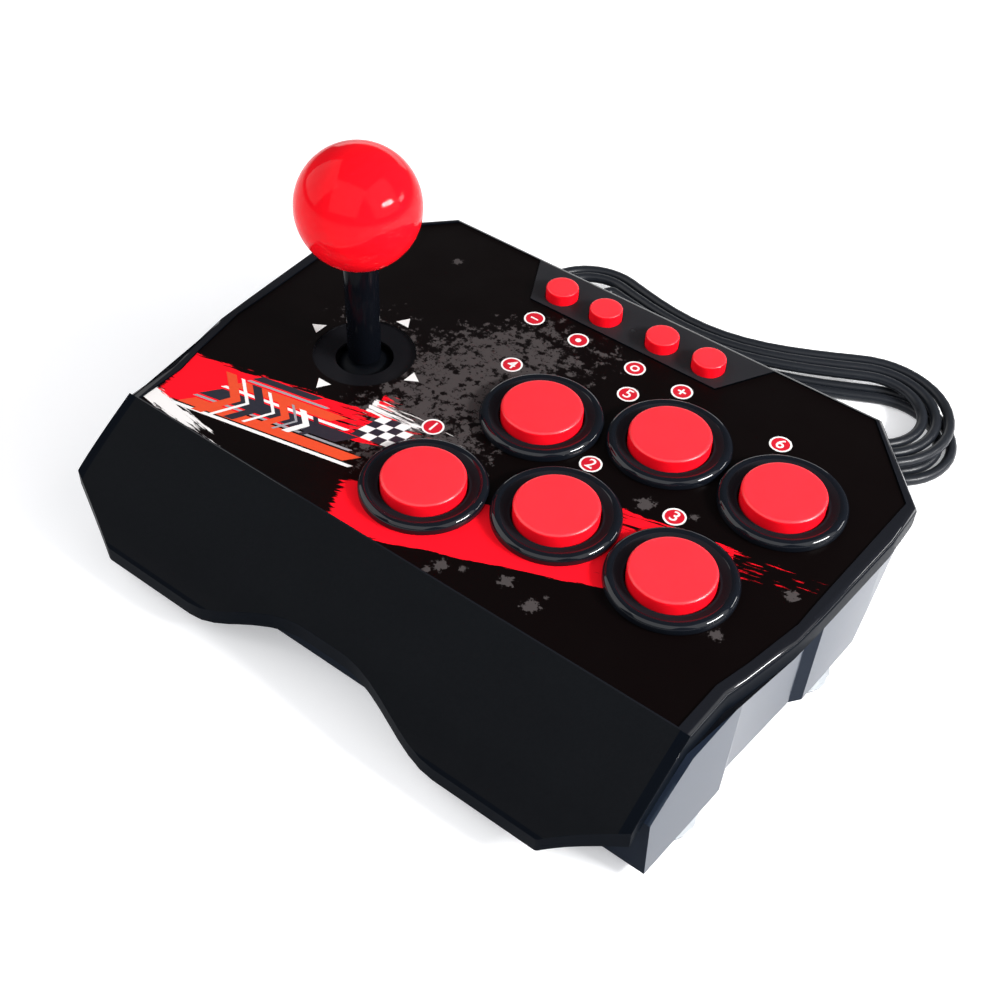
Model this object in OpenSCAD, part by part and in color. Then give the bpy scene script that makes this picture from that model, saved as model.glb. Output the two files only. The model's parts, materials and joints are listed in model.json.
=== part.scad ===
// Arcade fight stick: a ball-top lever, six main buttons and four menu buttons on a
// sloping panel with a palm rest, standing on four suction cups, with a USB cord.
// X runs to the player's right, Y to the rear, Z up. The cups stand on Z = 0.

/* [Housing] */
// Overall width of the housing
body_w = 201.8; // [200:0.2:208]
// Depth of the flat panel, front seam to rear edge
panel_d = 126.8; // [125:0.2:132]
// Slope of the panel, rising to the rear, in degrees
panel_tilt = 2.6; // [1.6:0.1:3.4]
// Height of the panel's front seam above the table
seam_h = 38.2; // [37.6:0.2:42]
// Wall thickness of both shells
wall = 2.4; // [2:0.1:2.8]
// Height of the upper shell's side skirt
skirt_h = 6.9; // [6:0.1:8]
// Radius of the rounded rim
rim_round = 1.6; // [1:0.1:2.2]
// Height of the rim above the graphic film
rim_rise = 0.4; // [0.2:0.1:0.8]
// Forward reach of the palm rest from the seam
palm_reach = 30.5; // [28:0.5:34]
// Drop of the palm rest's front edge below the seam
palm_drop = 24.9; // [22:0.5:26]
// Depth of the scallop in the palm rest's front edge
scallop_d = 7.4; // [4:0.2:9]
// Half width of the scallop
scallop_half = 42; // [34:1:48]
// Half width of the scallop's flat middle
scallop_flat = 6; // [2:1:12]
// Thickness of the printed graphic film
film_t = 0.3; // [0.2:0.05:0.5]
// Inset of the lower shell's sloping rear faces at their foot
rear_inset = 11.3; // [6:0.1:12]

/* [Feet and screws] */
// Clearance under the housing, the height of a suction cup
foot_h = 4; // [3.4:0.1:5]
// Radius of a suction cup's lip
foot_r = 10; // [8:0.5:11]
// Outer radius of a screw boss
boss_r = 3.6; // [3.2:0.1:4]
// Radius of a housing screw's thread
screw_r = 1.2; // [1:0.1:1.4]

/* [Main buttons] */
// Distance between neighbouring main buttons
button_pitch = 36; // [35.6:0.2:38]
// Left-right place of the first button
buttons_x = -5.5; // [-7:0.5:-4]
// Distance of the first button behind the seam
buttons_y = 23.8; // [22:0.2:25]
// Radius of a bezel's flange
bezel_r = 17.45; // [16.5:0.05:17.6]
// Height of a bezel above the film
bezel_h = 2.8; // [2:0.1:3.4]
// Radius of a bezel's barrel
barrel_r = 14; // [13.2:0.1:14.4]
// Depth of a barrel below the film
barrel_d = 17; // [15:0.5:18]
// Radius of a button cap
cap_r = 11.5; // [10.5:0.1:11.8]
// Height of a cap above the film
cap_h = 5; // [4.4:0.1:6.5]
// Travel of a main button
cap_travel = 2.5; // [1.5:0.1:3]
// Clearance all round a moving cap
cap_gap = 0.3; // [0.2:0.05:0.4]

/* [Menu buttons] */
// Distance between the two buttons of a menu pair
menu_pitch = 16.2; // [15:0.2:18]
// Distance between the inner two menu buttons
menu_middle = 20.2; // [18:0.2:24]
// Distance of the menu buttons from the panel's rear edge
menu_inset = 12.3; // [11.4:0.1:13]
// Radius of a menu button
menu_r = 5; // [4.4:0.1:5.4]
// Height of a menu button above the rim
menu_h = 3.5; // [2.5:0.1:4.5]
// Travel of a menu button
menu_travel = 0.8; // [0.4:0.1:1]

/* [Joystick] */
// Left-right place of the joystick
stick_x = -54.8; // [-57:0.2:-53]
// Distance of the joystick behind the seam
stick_y = 55.8; // [52:0.2:60]
// Radius of the ball top
ball_r = 17.5; // [15:0.5:20]
// Height of the ball's centre above the film
ball_h = 50; // [44:1:56]
// Radius of the steel lever
lever_r = 3; // [2.6:0.1:3.2]
// Radius of the plastic sleeve on the lever
sleeve_r = 4.9; // [4.4:0.1:5.2]
// Depth of the pivot below the film
pivot_d = 12; // [11.8:0.1:12.6]
// Tilt of the lever each way, in degrees
stick_tilt = 9; // [6:1:9]
// Radius of the hole that the lever moves in
stick_hole_r = 8.5; // [8.2:0.1:9]
// Radius of the shallow dish round the lever
dish_r = 14.9; // [13:0.1:16]
// Outer radius of the dust dome
dome_r = 11.2; // [11:0.1:11.6]

/* [Cord] */
// Diameter of the cord
cord_d = 3.5; // [3:0.1:4]
// Left-right place of the cord's exit
cord_x = 48; // [44:1:52]
// Height of the cord's exit above the table
cord_z = 16; // [14:1:18]

/* [Hidden] */
$fn = 64;

// Colours
shell_black = [0.07, 0.07, 0.08];
film_black = [0.12, 0.05, 0.05];
button_red = [0.93, 0.1, 0.16];
steel = [0.72, 0.73, 0.75];
board_green = [0.05, 0.32, 0.18];
switch_grey = [0.3, 0.3, 0.32];
clear_white = [0.85, 0.88, 0.9];
cord_black = [0.06, 0.06, 0.06];

// Shared clearances
overrun = 1;
fit_gap = 0.05;
seam_gap = 0.1;
film_gap = 0.15;

// Panel frame: its origin is the middle of the front seam, on top of the film
half_w = body_w / 2;
rear_y = panel_d * cos(panel_tilt) + (skirt_h - rim_rise) * sin(panel_tilt);
front_y = palm_reach * cos(panel_tilt) - (palm_drop - rim_rise) * sin(panel_tilt);
seam_y = (front_y - rear_y) / 2;

// Rim outline from the seam to the rear, as shares of half the width and of the depth
rim_shares = [[0.921, 0], [0.925, 0.126], [0.9405, 0.177], [0.961, 0.259], [0.975, 0.319],
    [0.983, 0.41], [1, 0.678], [0.994, 0.795], [0.759, 1]];
// Film outline, in the same shares
film_shares = [[0.884, 0.005], [0.888, 0.128], [0.913, 0.212], [0.9455, 0.3565],
    [0.946, 0.414], [0.961, 0.789], [0.744, 0.987]];
// Lower shell's widest outline, in the same shares
base_shares = [[0.949, -0.124], [0.961, 0.13], [0.9385, 0.186], [0.955, 0.4155],
    [0.978, 0.4415], [0.987, 0.68], [0.987, 0.8], [0.755, 1.006]];
// Direction of its rear side faces, and lean and length of the front part of its sides
chamfer_turn = -49;
side_lean = 3.4;
side_turn = -92.1;
side_length_share = 0.197;
// Palm rest's slope from the seam forward, as shares of its reach and its drop, and the
// height of the skirt under each point, as a share of its full height
slope_shares = [[0, 0, 1], [0.34, 0.25, 0.84], [0.67, 0.52, 0.76], [0.86, 0.74, 0.72],
    [0.96, 0.91, 0.7], [1, 1, 0.69]];
slope_steps = 3;
// Palm rest's side corner and front corner, as shares of half the width and the reach
palm_corner_shares = [0.921, 0.711];
palm_front_share = 0.728;

function unit(v) = v / norm(v);
function inward(a, b) = unit([a[1] - b[1], b[0] - a[0]]);
// A closed outline, anticlockwise, moved inwards by t
function inset(pts, t) = [for (i = [0:len(pts) - 1])
    let (a = pts[(i + len(pts) - 1) % len(pts)], b = pts[i], c = pts[(i + 1) % len(pts)],
        m = inward(a, b) + inward(b, c))
    b + t * m * 2 / (m * m)];
function scaled(shares, x, y) = [for (s = shares) [s[0] * x, s[1] * y]];
function backwards(pts) = [for (i = [len(pts) - 1:-1:0]) pts[i]];
function flipped(pts) = [for (p = pts) [-p[0], p[1]]];
// A right-hand half, front to rear, made a whole outline
function both_sides(right) = concat(right, backwards(flipped(right)));
// An outline whose first and last points are put on the line y
function ended(pts, y) = [for (i = [0:len(pts) - 1])
    [pts[i][0], i == 0 || i == len(pts) - 1 ? y : pts[i][1]]];
function raised(pts, z) = [for (p = pts) [p[0], p[1], z]];
function blend(a, b, f) = a + (b - a) * f;

rim = both_sides(scaled(rim_shares, half_w, panel_d));
film = both_sides(scaled(film_shares, half_w, panel_d));

// Palm rest's plan, left rear round the front to right rear
scallop_steps = 10;
function scallop(x) = scallop_d * (1 + cos(180 * min(1, max(0,
    (x - scallop_flat) / (scallop_half - scallop_flat))))) / 2;
palm_left = concat(
    [[-half_w * rim_shares[0][0], 0],
     [-half_w * palm_corner_shares[0], -palm_reach * palm_corner_shares[1]],
     [-half_w * palm_front_share, -palm_reach]],
    [for (i = [0:scallop_steps - 1]) let (x = scallop_half * (1 - i / scallop_steps))
        [-x, scallop(x) - palm_reach]]);
palm = concat(palm_left, [[0, scallop(0) - palm_reach]], backwards(flipped(palm_left)));

// Side view of the top surface, lowered by d, and of the parting line, lowered by d
slope = smooth(slope_shares, slope_steps);
function top_line(d) = concat([[panel_d * 1.1, rim_rise - d]],
    [for (s = slope) [-palm_reach * s[0], rim_rise - palm_drop * s[1] - d]],
    [[-palm_reach * 1.1, rim_rise - palm_drop * 1.1 - d]]);
function parting_line(d) = concat([[panel_d * 1.1, rim_rise - skirt_h - d]],
    [for (s = slope) [-palm_reach * s[0],
        rim_rise - palm_drop * s[1] - skirt_h * s[2] - d]],
    [[-palm_reach * 1.1, rim_rise - palm_drop * 1.1 - skirt_h * slope_shares[5][2] - d]]);

// Places in the panel frame
lower_row_shares = [[0, 0], [0.93, 0.378], [1.92, 0.378]];
upper_row_share = [0.217, 1.164];
function button_at(i) = [buttons_x, buttons_y]
    + button_pitch * (lower_row_shares[i % 3] + floor(i / 3) * upper_row_share);
menu_y = panel_d - menu_inset;
function menu_x(i) = (i < 2 ? -1 : 1) * (menu_middle / 2
    + (i == 0 || i == 3 ? menu_pitch : 0));
strip_rear_share = 0.433;
strip_front_share = 0.327;
strip_d = menu_inset + menu_r * 1.42;
boss_shares = [[0.733, 0.047], [0.803, 0.773], [0, 0.028], [0, 0.79]];
boss_places = [for (s = boss_shares) for (side = s[0] == 0 ? [1] : [-1, 1])
    [side * s[0] * half_w, s[1] * panel_d]];
foot_shares = [[0.862, 0.04], [0.892, 0.54]];

// Levels in the panel frame
plate_low = -wall;
floor_z = foot_h + wall;
deep = seam_h * 1.3;
boss_meet = -barrel_d * 1.15;
screw_seat = -barrel_d * 1.75;
screw_head_r = screw_r * 2.1;
screw_head_h = screw_r * 1.5;
base_rise = seam_h * 1.1;
base_rear_y = panel_d * base_shares[7][1];
rear_lean = atan(rear_inset / base_rise);
// The level, in the panel frame, of the middle of the floor at a place
function floor_at(p) = (foot_h + wall / 2 - seam_h - p[1] * sin(panel_tilt)) / cos(panel_tilt);

// Main button
barrel_floor = 2;
cap_play = 0.1;
stem_r = 4;
snap_r = 5;
snap_h = 0.9;
cap_skirt = 6;
cap_wall = 1.7;
nut_r = 16.6;
nut_h = 3.5;
bezel_lip = bezel_h * 0.45;
bezel_inner_r = cap_r + cap_gap;
stem_end = -(barrel_d + cap_play + snap_h);
switch_size = 6;
switch_h = 4.3;
switch_body_h = 3.4;
switch_knob_r = 1.75;
switch_gap = 0.3;
board_t = 1.6;
board_top = stem_end - cap_travel - switch_gap - switch_h;
board_edge = 18.5;
board_front_edge = 12.8;
board_rear_gap = 23;
board_right_share = 0.882;
board_low_y = buttons_y - board_front_edge;
board_high_y = menu_y - board_rear_gap;
board_right = half_w * board_right_share;
board_left = buttons_x - board_edge;
post_r = 2.4;
post_in = 4;
post_places = [[board_left + post_in, board_low_y + post_in],
    [board_right - post_in, board_low_y + post_in],
    [board_left + post_in, board_high_y - post_in],
    [board_right - post_in, board_high_y - post_in]];
small_screw_r = 1;
small_head_r = 2;
small_head_h = 1.2;
spring_wire_r = 0.35;
spring_coil_r = 6.6;
spring_turns = 5;

// Menu buttons
menu_gap = 0.25;
menu_flange_r = menu_r + 1.3;
menu_flange_h = 1;
menu_stem_r = 1.8;
menu_stem_end = plate_low - 4.7;
menu_board_top = menu_stem_end - menu_travel - switch_gap - switch_h;
menu_board_half = menu_middle / 2 + menu_pitch + menu_flange_r + 5.9;
menu_board_d = 10;
menu_post_r = 2;
menu_post_x = menu_board_half - 2.5;
light_r = 0.75;

// Joystick, heights from the pivot unless named otherwise
ring_r = 9;
ring_in = 6.2;
ring_half = 2.5;
pin_r = 1.2;
ear_in = ring_r + 1.2;
ear_out = ear_in + 3.4;
ear_half = 4;
carrier_top = -2;
carrier_t = 2.5;
carrier_half = 20.5;
carrier_hole_r = 11;
carrier_screw = 17;
leg_at = 17;
leg_half = 2.5;
stick_board_top = -10.8;
stick_board_hole_r = 7;
stick_board_half = 19.5;
gate_t = 1.6;
gate_top = stick_board_top - board_t;
gate_low = gate_top - gate_t;
gate_gap = 0.3;
gate_half = lever_r + fit_gap - gate_low * tan(stick_tilt) + gate_gap;
collar_r = 4.6;
collar_top = -5.5;
collar_low = -10.3;
side_switch_in = 7.4;
side_switch_d = 5.8;
side_switch_w = 10;
side_switch_h = 5.8;
side_knob_r = 0.8;
side_knob_z = -7.5;
side_knob_tip = collar_r - (side_knob_z - side_knob_r) * tan(stick_tilt) + 0.35;
cup_top = -18.4;
cup_t = 1;
cup_r = 5.5;
clip_top = cup_top - cup_t - 0.1;
clip_t = 0.6;
clip_r = 4.2;
groove_r = 2.6;
lever_end = clip_top - clip_t - 0.6;
lever_top = ball_h + pivot_d - 5;
dome_t = 1.1;
dome_flat = sqrt(dome_r * dome_r - sleeve_r * sleeve_r);
dome_rim = dome_r * cos(52);
hub_low = dome_r * 0.625;
ball_flat = sqrt(ball_r * ball_r - sleeve_r * sleeve_r * 1.3);
dish_deep = 1.6;

// Cord's exit boot
rear_wall_y = seam_y + base_rear_y - (foot_h + base_rise - cord_z) * tan(rear_lean);
boot_neck_r = 3;
boot_flange_r = 4.4;
boot_inner_y = rear_wall_y - 6.3;
boot_outer_y = rear_wall_y + 1.8;
boot_tip_y = 86;
boot_flange_t = 2;

// Cord routes, points in the row frame
lead_in = [[48, 86, 16], [48, 88, 16], [48, 90, 16], [46.8, 92.4, 14.6], [43.4, 93.6, 12],
    [39, 94, 9.2], [34, 94.2, 6.4], [28, 94.4, 3.8], [22, 94.8, 2.2]];
tail_out = [[0, 96.3, 6.3], [-6, 94.9, 6.2], [-13, 92.6, 6.1], [-20, 90, 5.8],
    [-27, 87.2, 5], [-34, 84.6, 4.4], [-41, 83.2, 4.2], [-45, 83, 4.2], [-49, 83, 4.2],
    [-53, 83, 4.2]];
inner_route = [[48, 64.3, 16], [48, 62, 16], [48, 59.7, 16], [48, 54, 17.4], [48, 48, 19.2],
    [48, 44, 19.9], [48, 41.5, 20]];

// Hank: two lobes joined by runs, each turn inside or above the last
right_lobe = [64, 124];
right_lobe_r = 26;
left_lobe = [-38, 112];
left_lobe_r = 20;
upper_dip = 12;
right_lobe_angles = [123, -87];
left_lobe_angles = [-87, -284];
hank_turns = 5;
hank_rings = 24;
turn_step = 4.4;
layer_step = 4.4;
layer_shift = [-8, 4];
hank_z = 1.85;
start_share = 11 / 12;
climb_from = 2.15;
climb_share = 0.14;
shift_share = 0.16;
climb_to = climb_from + climb_share;
function eased(f) = (1 - cos(180 * min(1, max(0, f)))) / 2;
function lobe(c, r, a) = c + r * [cos(a), sin(a)];
function run(a, b, f, dip) = blend(a, b, f) - [0, dip * sin(180 * f)];
function turn_place(g, d) = g < 1 / 3
    ? lobe(left_lobe, left_lobe_r - d, blend(left_lobe_angles[0], left_lobe_angles[1], g * 3))
    : g < 1 / 2
    ? run(lobe(left_lobe, left_lobe_r - d, left_lobe_angles[1]),
        lobe(right_lobe, right_lobe_r - d, right_lobe_angles[0]), (g - 1 / 3) * 6, upper_dip)
    : g < 5 / 6
    ? lobe(right_lobe, right_lobe_r - d,
        blend(right_lobe_angles[0], right_lobe_angles[1], (g - 1 / 2) * 3))
    : run(lobe(right_lobe, right_lobe_r - d, right_lobe_angles[1]),
        lobe(left_lobe, left_lobe_r - d, left_lobe_angles[0]), (g - 5 / 6) * 6, 0);
function turns_in(t) = t < climb_from ? t : climb_from - max(0, t - climb_to - shift_share);
function hank_point(t) = let (g = t + start_share,
        p = turn_place(g - floor(g), turn_step * turns_in(t))
            + eased((t - climb_to) / shift_share) * layer_shift)
    [p[0], p[1], hank_z + layer_step * eased((t - climb_from) / climb_share)];
hank_line = [for (i = [0:hank_turns * hank_rings]) hank_point(i / hank_rings)];
fine_line = [for (i = [0:hank_turns * 60]) hank_point(i / 60)];
least_gap = min([for (i = [0:len(fine_line) - 31]) for (j = [i + 30:len(fine_line) - 1])
    norm(fine_line[i] - fine_line[j])]) - cord_d;
function line_length(pts) = len(pts) < 2 ? 0
    : [for (i = 0, s = 0; i < len(pts); i = i + 1,
        s = s + (i < len(pts) ? norm(pts[i] - pts[i - 1]) : 0)) s][len(pts) - 1];
cord_line = concat(smooth(lead_in, 3), hank_line, smooth(tail_out, 3));
hank_from = (len(lead_in) - 1) * 3 + 1;
hank_to = hank_from + len(hank_line) - 1;
cord_fine = concat(smooth(lead_in, 3), fine_line, smooth(tail_out, 3));
lead_gap = min([for (a = concat(smooth(lead_in, 6), smooth(tail_out, 6))) for (b = fine_line)
    norm(b - fine_line[0]) > cord_d * 3 && norm(b - fine_line[len(fine_line) - 1]) > cord_d * 3
        ? norm(a - b) : body_w]) - cord_d;
plug_w = 12;
plug_t = 8;
plug_l = 24;
plug_at = tail_out[len(tail_out) - 1];
shell_w = 12;
shell_t = 4.5;
shell_l = 18.5;
echo(least_gap_of_hank = least_gap, least_gap_of_ends = lead_gap,
    length_of_cord = line_length(cord_fine));

// Rings of equal count, stacked into one closed solid
module skin(rings) {
    n = len(rings[0]);
    last = (len(rings) - 1) * n;
    polyhedron(points = [for (r = rings) each r], faces = concat(
        [[for (i = [0:n - 1]) i]],
        [[for (i = [n - 1:-1:0]) last + i]],
        [for (k = [0:n:last - n]) for (i = [0:n - 1]) let (j = (i + 1) % n)
            each [[k + i, k + n + i, k + n + j], [k + i, k + n + j, k + j]]]));
}

function ring_round(p, t, r, sides) = let (side = unit(cross(t, [0, 0, 1])), up = cross(side, t))
    [for (i = [0:sides - 1]) let (a = 360 * i / sides) p + r * (cos(a) * side - sin(a) * up)];
// A round tube along a line of points, from the point numbered a to the one numbered b
module tube_part(line, a, b, r, sides) {
    m = len(line) - 1;
    skin([for (i = [a:b]) ring_round(line[i],
        unit(line[min(m, i + 1)] - line[max(0, i - 1)]), r, sides)]);
}

module tube(line, r, sides) {
    tube_part(line, 0, len(line) - 1, r, sides);
}

// A smooth line through chosen points, with a few steps in each stretch
function between(p, i, f) = let (m = len(p) - 1, a = p[max(0, i - 1)], b = p[i],
        c = p[i + 1], d = p[min(m, i + 2)])
    (2 * b + (c - a) * f + (2 * a - 5 * b + 4 * c - d) * f * f
        + (3 * b - a - 3 * c + d) * f * f * f) / 2;
function smooth(p, n) = concat([for (i = [0:len(p) - 2]) for (k = [0:n - 1])
    between(p, i, k / n)], [p[len(p) - 1]]);

// A coiled wire from radius a at the foot to radius b at height h
module coil(a, b, h, wire, turns) {
    steps = turns * 8;
    tube([for (i = [0:steps]) let (f = i / steps, r = blend(a, b, f))
        [r * cos(f * turns * 360), r * sin(f * turns * 360), blend(wire, h - wire, f)]],
        wire, 6);
}

module on_panel() {
    translate([0, seam_y, seam_h]) rotate([panel_tilt, 0, 0]) children();
}

module at(place, z = 0) {
    translate([place[0], place[1], z]) children();
}

// A side view, drawn as depth and height, drawn out across the housing
module across(side_view) {
    translate([-body_w, 0, 0]) rotate([90, 0, 90]) linear_extrude(2 * body_w)
        polygon(side_view);
}

module slab(outline, low, high) {
    translate([0, 0, low]) linear_extrude(high - low) polygon(outline);
}

module drum(r, low, high) {
    translate([0, 0, low]) cylinder(r = r, h = high - low);
}

module block(x, y, low, high) {
    translate([-x / 2, -y / 2, low]) cube([x, y, high - low]);
}

module strip_outline(grow = 0) {
    polygon([[-half_w * strip_front_share - grow, panel_d - strip_d - grow],
        [half_w * strip_front_share + grow, panel_d - strip_d - grow],
        [half_w * strip_rear_share + grow, panel_d + overrun],
        [-half_w * strip_rear_share - grow, panel_d + overrun]]);
}

module palm_solid(outline, top, low) {
    intersection() {
        slab(outline, -deep, overrun);
        across(concat(top, backwards(low)));
    }
}

module upper_block() {
    skin(concat([raised(rim, rim_rise - skirt_h)], [for (k = [0:3]) let (a = k * 30)
        raised(ended(inset(rim, rim_round * (1 - cos(a))), 0),
            rim_rise - rim_round * (1 - sin(a)))]));
    palm_solid(ended(palm, 0), top_line(0), parting_line(0));
}

module upper_cavity() {
    slab(ended(inset(rim, wall), -overrun), rim_rise - skirt_h - overrun, plate_low);
    palm_solid(ended(inset(palm, wall), wall * 2), top_line(wall + rim_rise),
        parting_line(overrun));
}

module screw_boss(top, low, bore_low) {
    difference() {
        drum(boss_r, low, top);
        drum(screw_r + fit_gap, bore_low, top - wall);
    }
}

module upper_shell() {
    color(shell_black) on_panel() difference() {
        union() {
            difference() {
                upper_block();
                upper_cavity();
                translate([0, 0, -film_t]) linear_extrude(rim_rise + film_t + overrun)
                    difference() {
                        polygon(inset(film, -film_gap));
                        strip_outline();
                    }
            }
            for (p = boss_places) at(p) drum(boss_r, boss_meet, plate_low + fit_gap);
            at([stick_x, stick_y]) for (x = [-1, 1]) for (y = [-1, 1])
                at([x * carrier_screw, y * carrier_screw])
                    drum(small_head_r * 1.4, carrier_top - pivot_d, plate_low + fit_gap);
            for (x = [-1, 1]) at([x * menu_post_x, menu_y])
                drum(menu_post_r, menu_board_top, plate_low + fit_gap);
        }
        for (p = boss_places) at(p)
            drum(screw_r + fit_gap, boss_meet - overrun, plate_low - wall / 2);
        for (i = [0:5]) at(button_at(i)) drum(barrel_r + seam_gap, -wall * 2, rim_rise + overrun);
        for (i = [0:3]) at([menu_x(i), menu_y])
            drum(menu_r + menu_gap, -wall * 2, rim_rise + overrun);
        at([0, menu_y]) drum(light_r + fit_gap, -wall * 2, rim_rise + overrun);
        at([stick_x, stick_y]) {
            drum(stick_hole_r, -wall * 2, rim_rise);
            rotate_extrude() polygon([[0, -dish_deep], [stick_hole_r, -dish_deep],
                [dish_r, -dish_deep / 2], [dish_r, rim_rise], [0, rim_rise]]);
            for (x = [-1, 1]) for (y = [-1, 1]) at([x * carrier_screw, y * carrier_screw])
                drum(small_screw_r + fit_gap, carrier_top - pivot_d - overrun,
                    plate_low - wall / 2);
        }
        for (x = [-1, 1]) at([x * menu_post_x, menu_y])
            drum(small_screw_r + fit_gap, menu_board_top - overrun, plate_low - wall / 2);
    }
}

// Cuts a face through the place p on the outline, at the height z, turned and leaning
module face_cut(p, z, turn, lean, t, length) {
    translate([p[0], p[1] + seam_y, z]) rotate(turn) rotate([-lean, 0, 0])
        translate([-length / 2, -t, -deep]) cube([length, panel_d, 3 * deep]);
}

module base_block(t, low) {
    top = foot_h + base_rise;
    plan = [for (p = both_sides(scaled(base_shares, half_w, panel_d))) [p[0], p[1] + seam_y]];
    difference() {
        slab(inset(plan, t), low, top);
        face_cut([0, base_rear_y], top, 0, rear_lean, t, 2 * body_w);
        for (s = [-1, 1]) {
            face_cut([s * base_shares[7][0] * half_w, base_rear_y], top, s * chamfer_turn,
                rear_lean, t, 2 * body_w);
            face_cut([s * base_shares[0][0] * half_w, base_shares[0][1] * panel_d], foot_h,
                s * side_turn, -side_lean, t, 2 * side_length_share * body_w);
        }
    }
}

module under_parting(d) {
    on_panel() across(concat(parting_line(d), [[-palm_reach * 1.1, -deep * 1.2],
        [panel_d * 1.1, -deep * 1.2]]));
}

module lower_shell() {
    color(shell_black) difference() {
        union() {
            intersection() {
                difference() {
                    base_block(0, foot_h);
                    base_block(wall, floor_z);
                }
                under_parting(seam_gap);
            }
            on_panel() palm_solid(ended(inset(palm, wall + seam_gap), -panel_d * 0.105),
                parting_line(-wall * 0.8), parting_line(0));
            on_panel() intersection() {
                translate([-half_w * 0.88, -panel_d * 0.14, -deep])
                    cube([half_w * 1.76, panel_d * 0.035, deep]);
                across(concat(parting_line(-wall * 0.8), backwards(parting_line(wall))));
            }
            on_panel() {
                for (p = boss_places) at(p)
                    drum(boss_r + wall / 4, floor_at(p), boss_meet - seam_gap);
                for (p = post_places) at(p)
                    drum(post_r, floor_at(p), board_top - board_t);
            }
        }
        on_panel() for (p = boss_places) at(p) {
            drum(screw_r + seam_gap, -deep, boss_meet + overrun);
            drum(screw_head_r + seam_gap, -deep, screw_seat);
        }
        on_panel() for (p = post_places) at(p)
            drum(small_screw_r + fit_gap, board_top - board_t - post_r, board_top);
        for (x = [-1, 1]) for (s = foot_shares)
            at([x * s[0] * half_w, seam_y + s[1] * panel_d])
                drum(foot_r * 0.3 + seam_gap, 0, floor_z + overrun);
        translate([cord_x, rear_wall_y + wall, cord_z]) rotate([90, 0, 0])
            cylinder(r = boot_neck_r + seam_gap, h = wall * 4);
    }
}

module graphic_overlay() {
    color(film_black) on_panel() difference() {
        slab(film, -film_t, 0);
        translate([0, 0, -wall]) linear_extrude(wall + overrun) strip_outline(film_gap);
        for (i = [0:5]) at(button_at(i)) drum(barrel_r + seam_gap, -wall, overrun);
        at([stick_x, stick_y]) drum(dish_r + film_gap, -wall, overrun);
    }
}

module housing_screws() {
    color(steel) on_panel() for (p = boss_places) at(p) {
        drum(screw_r, screw_seat - screw_head_h / 2, boss_meet + barrel_d / 2);
        difference() {
            drum(screw_head_r, screw_seat - screw_head_h, screw_seat);
            block(screw_head_r, screw_r / 2, screw_seat - screw_head_h * 2,
                screw_seat - screw_head_h / 2);
        }
    }
}

module suction_cup(x, share) {
    neck = foot_r * 0.3;
    color(clear_white) at([x * share[0] * half_w, seam_y + share[1] * panel_d])
        rotate_extrude() polygon([[0, foot_h * 0.5], [foot_r * 0.6, foot_h * 0.2],
            [foot_r * 0.92, 0], [foot_r, 0], [foot_r, foot_h * 0.2],
            [foot_r * 0.6, foot_h * 0.62], [foot_r * 0.45, foot_h], [neck, foot_h],
            [neck, floor_z + fit_gap], [neck * 1.35, floor_z + fit_gap],
            [neck * 1.1, floor_z + wall * 0.7], [0, floor_z + wall * 0.7]]);
}
module cup_front_left() { suction_cup(-1, foot_shares[0]); }
module cup_front_right() { suction_cup(1, foot_shares[0]); }
module cup_rear_left() { suction_cup(-1, foot_shares[1]); }
module cup_rear_right() { suction_cup(1, foot_shares[1]); }

// A button's collar, with the tube that guides its cap and a floor for the spring
module bezel(i) {
    color(shell_black) on_panel() at(button_at(i)) rotate_extrude() polygon([
        [bezel_r, 0], [bezel_r, bezel_lip], [bezel_r - bezel_lip * 0.4, bezel_h * 0.85],
        [bezel_r - bezel_lip * 1.2, bezel_h], [bezel_r - bezel_lip * 2, bezel_h * 0.9],
        [bezel_inner_r + bezel_lip * 0.5, bezel_h * 0.62], [bezel_inner_r, bezel_h * 0.5],
        [bezel_inner_r, barrel_floor - barrel_d], [stem_r + cap_gap, barrel_floor - barrel_d],
        [stem_r + cap_gap, -barrel_d], [barrel_r, -barrel_d], [barrel_r, 0]]);
}
module bezel_1() { bezel(0); }
module bezel_2() { bezel(1); }
module bezel_3() { bezel(2); }
module bezel_4() { bezel(3); }
module bezel_5() { bezel(4); }
module bezel_6() { bezel(5); }

// A button's cap, with its skirt, stem and snap end in one moulding
module cap(i) {
    edge = cap_r * 0.1;
    color(button_red) on_panel() at(button_at(i)) rotate_extrude() polygon([
        [0, cap_h], [cap_r - edge, cap_h], [cap_r - edge * 0.3, cap_h - edge * 0.3],
        [cap_r, cap_h - edge], [cap_r, -cap_skirt], [cap_r - cap_wall, -cap_skirt],
        [cap_r - cap_wall, cap_h - cap_wall], [stem_r, cap_h - cap_wall],
        [stem_r, -barrel_d - cap_play], [snap_r, -barrel_d - cap_play],
        [stem_r, stem_end], [0, stem_end]]);
}
module cap_1() { cap(0); }
module cap_2() { cap(1); }
module cap_3() { cap(2); }
module cap_4() { cap(3); }
module cap_5() { cap(4); }
module cap_6() { cap(5); }

module spring(i) {
    color(steel) on_panel() at(button_at(i), barrel_floor - barrel_d + fit_gap)
        coil(spring_coil_r, spring_coil_r,
            barrel_d - barrel_floor + cap_h - cap_wall - 2 * fit_gap,
            spring_wire_r, spring_turns);
}
module spring_1() { spring(0); }
module spring_2() { spring(1); }
module spring_3() { spring(2); }
module spring_4() { spring(3); }
module spring_5() { spring(4); }
module spring_6() { spring(5); }

module bezel_nuts() {
    color(shell_black) on_panel() for (i = [0:5]) at(button_at(i)) difference() {
        drum(nut_r, plate_low - nut_h, plate_low);
        drum(barrel_r + fit_gap, plate_low - nut_h - overrun, plate_low + overrun);
        for (a = [0:60:300]) rotate(a) at([nut_r, 0])
            drum(nut_h / 3, plate_low - nut_h - overrun, plate_low + overrun);
    }
}

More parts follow.
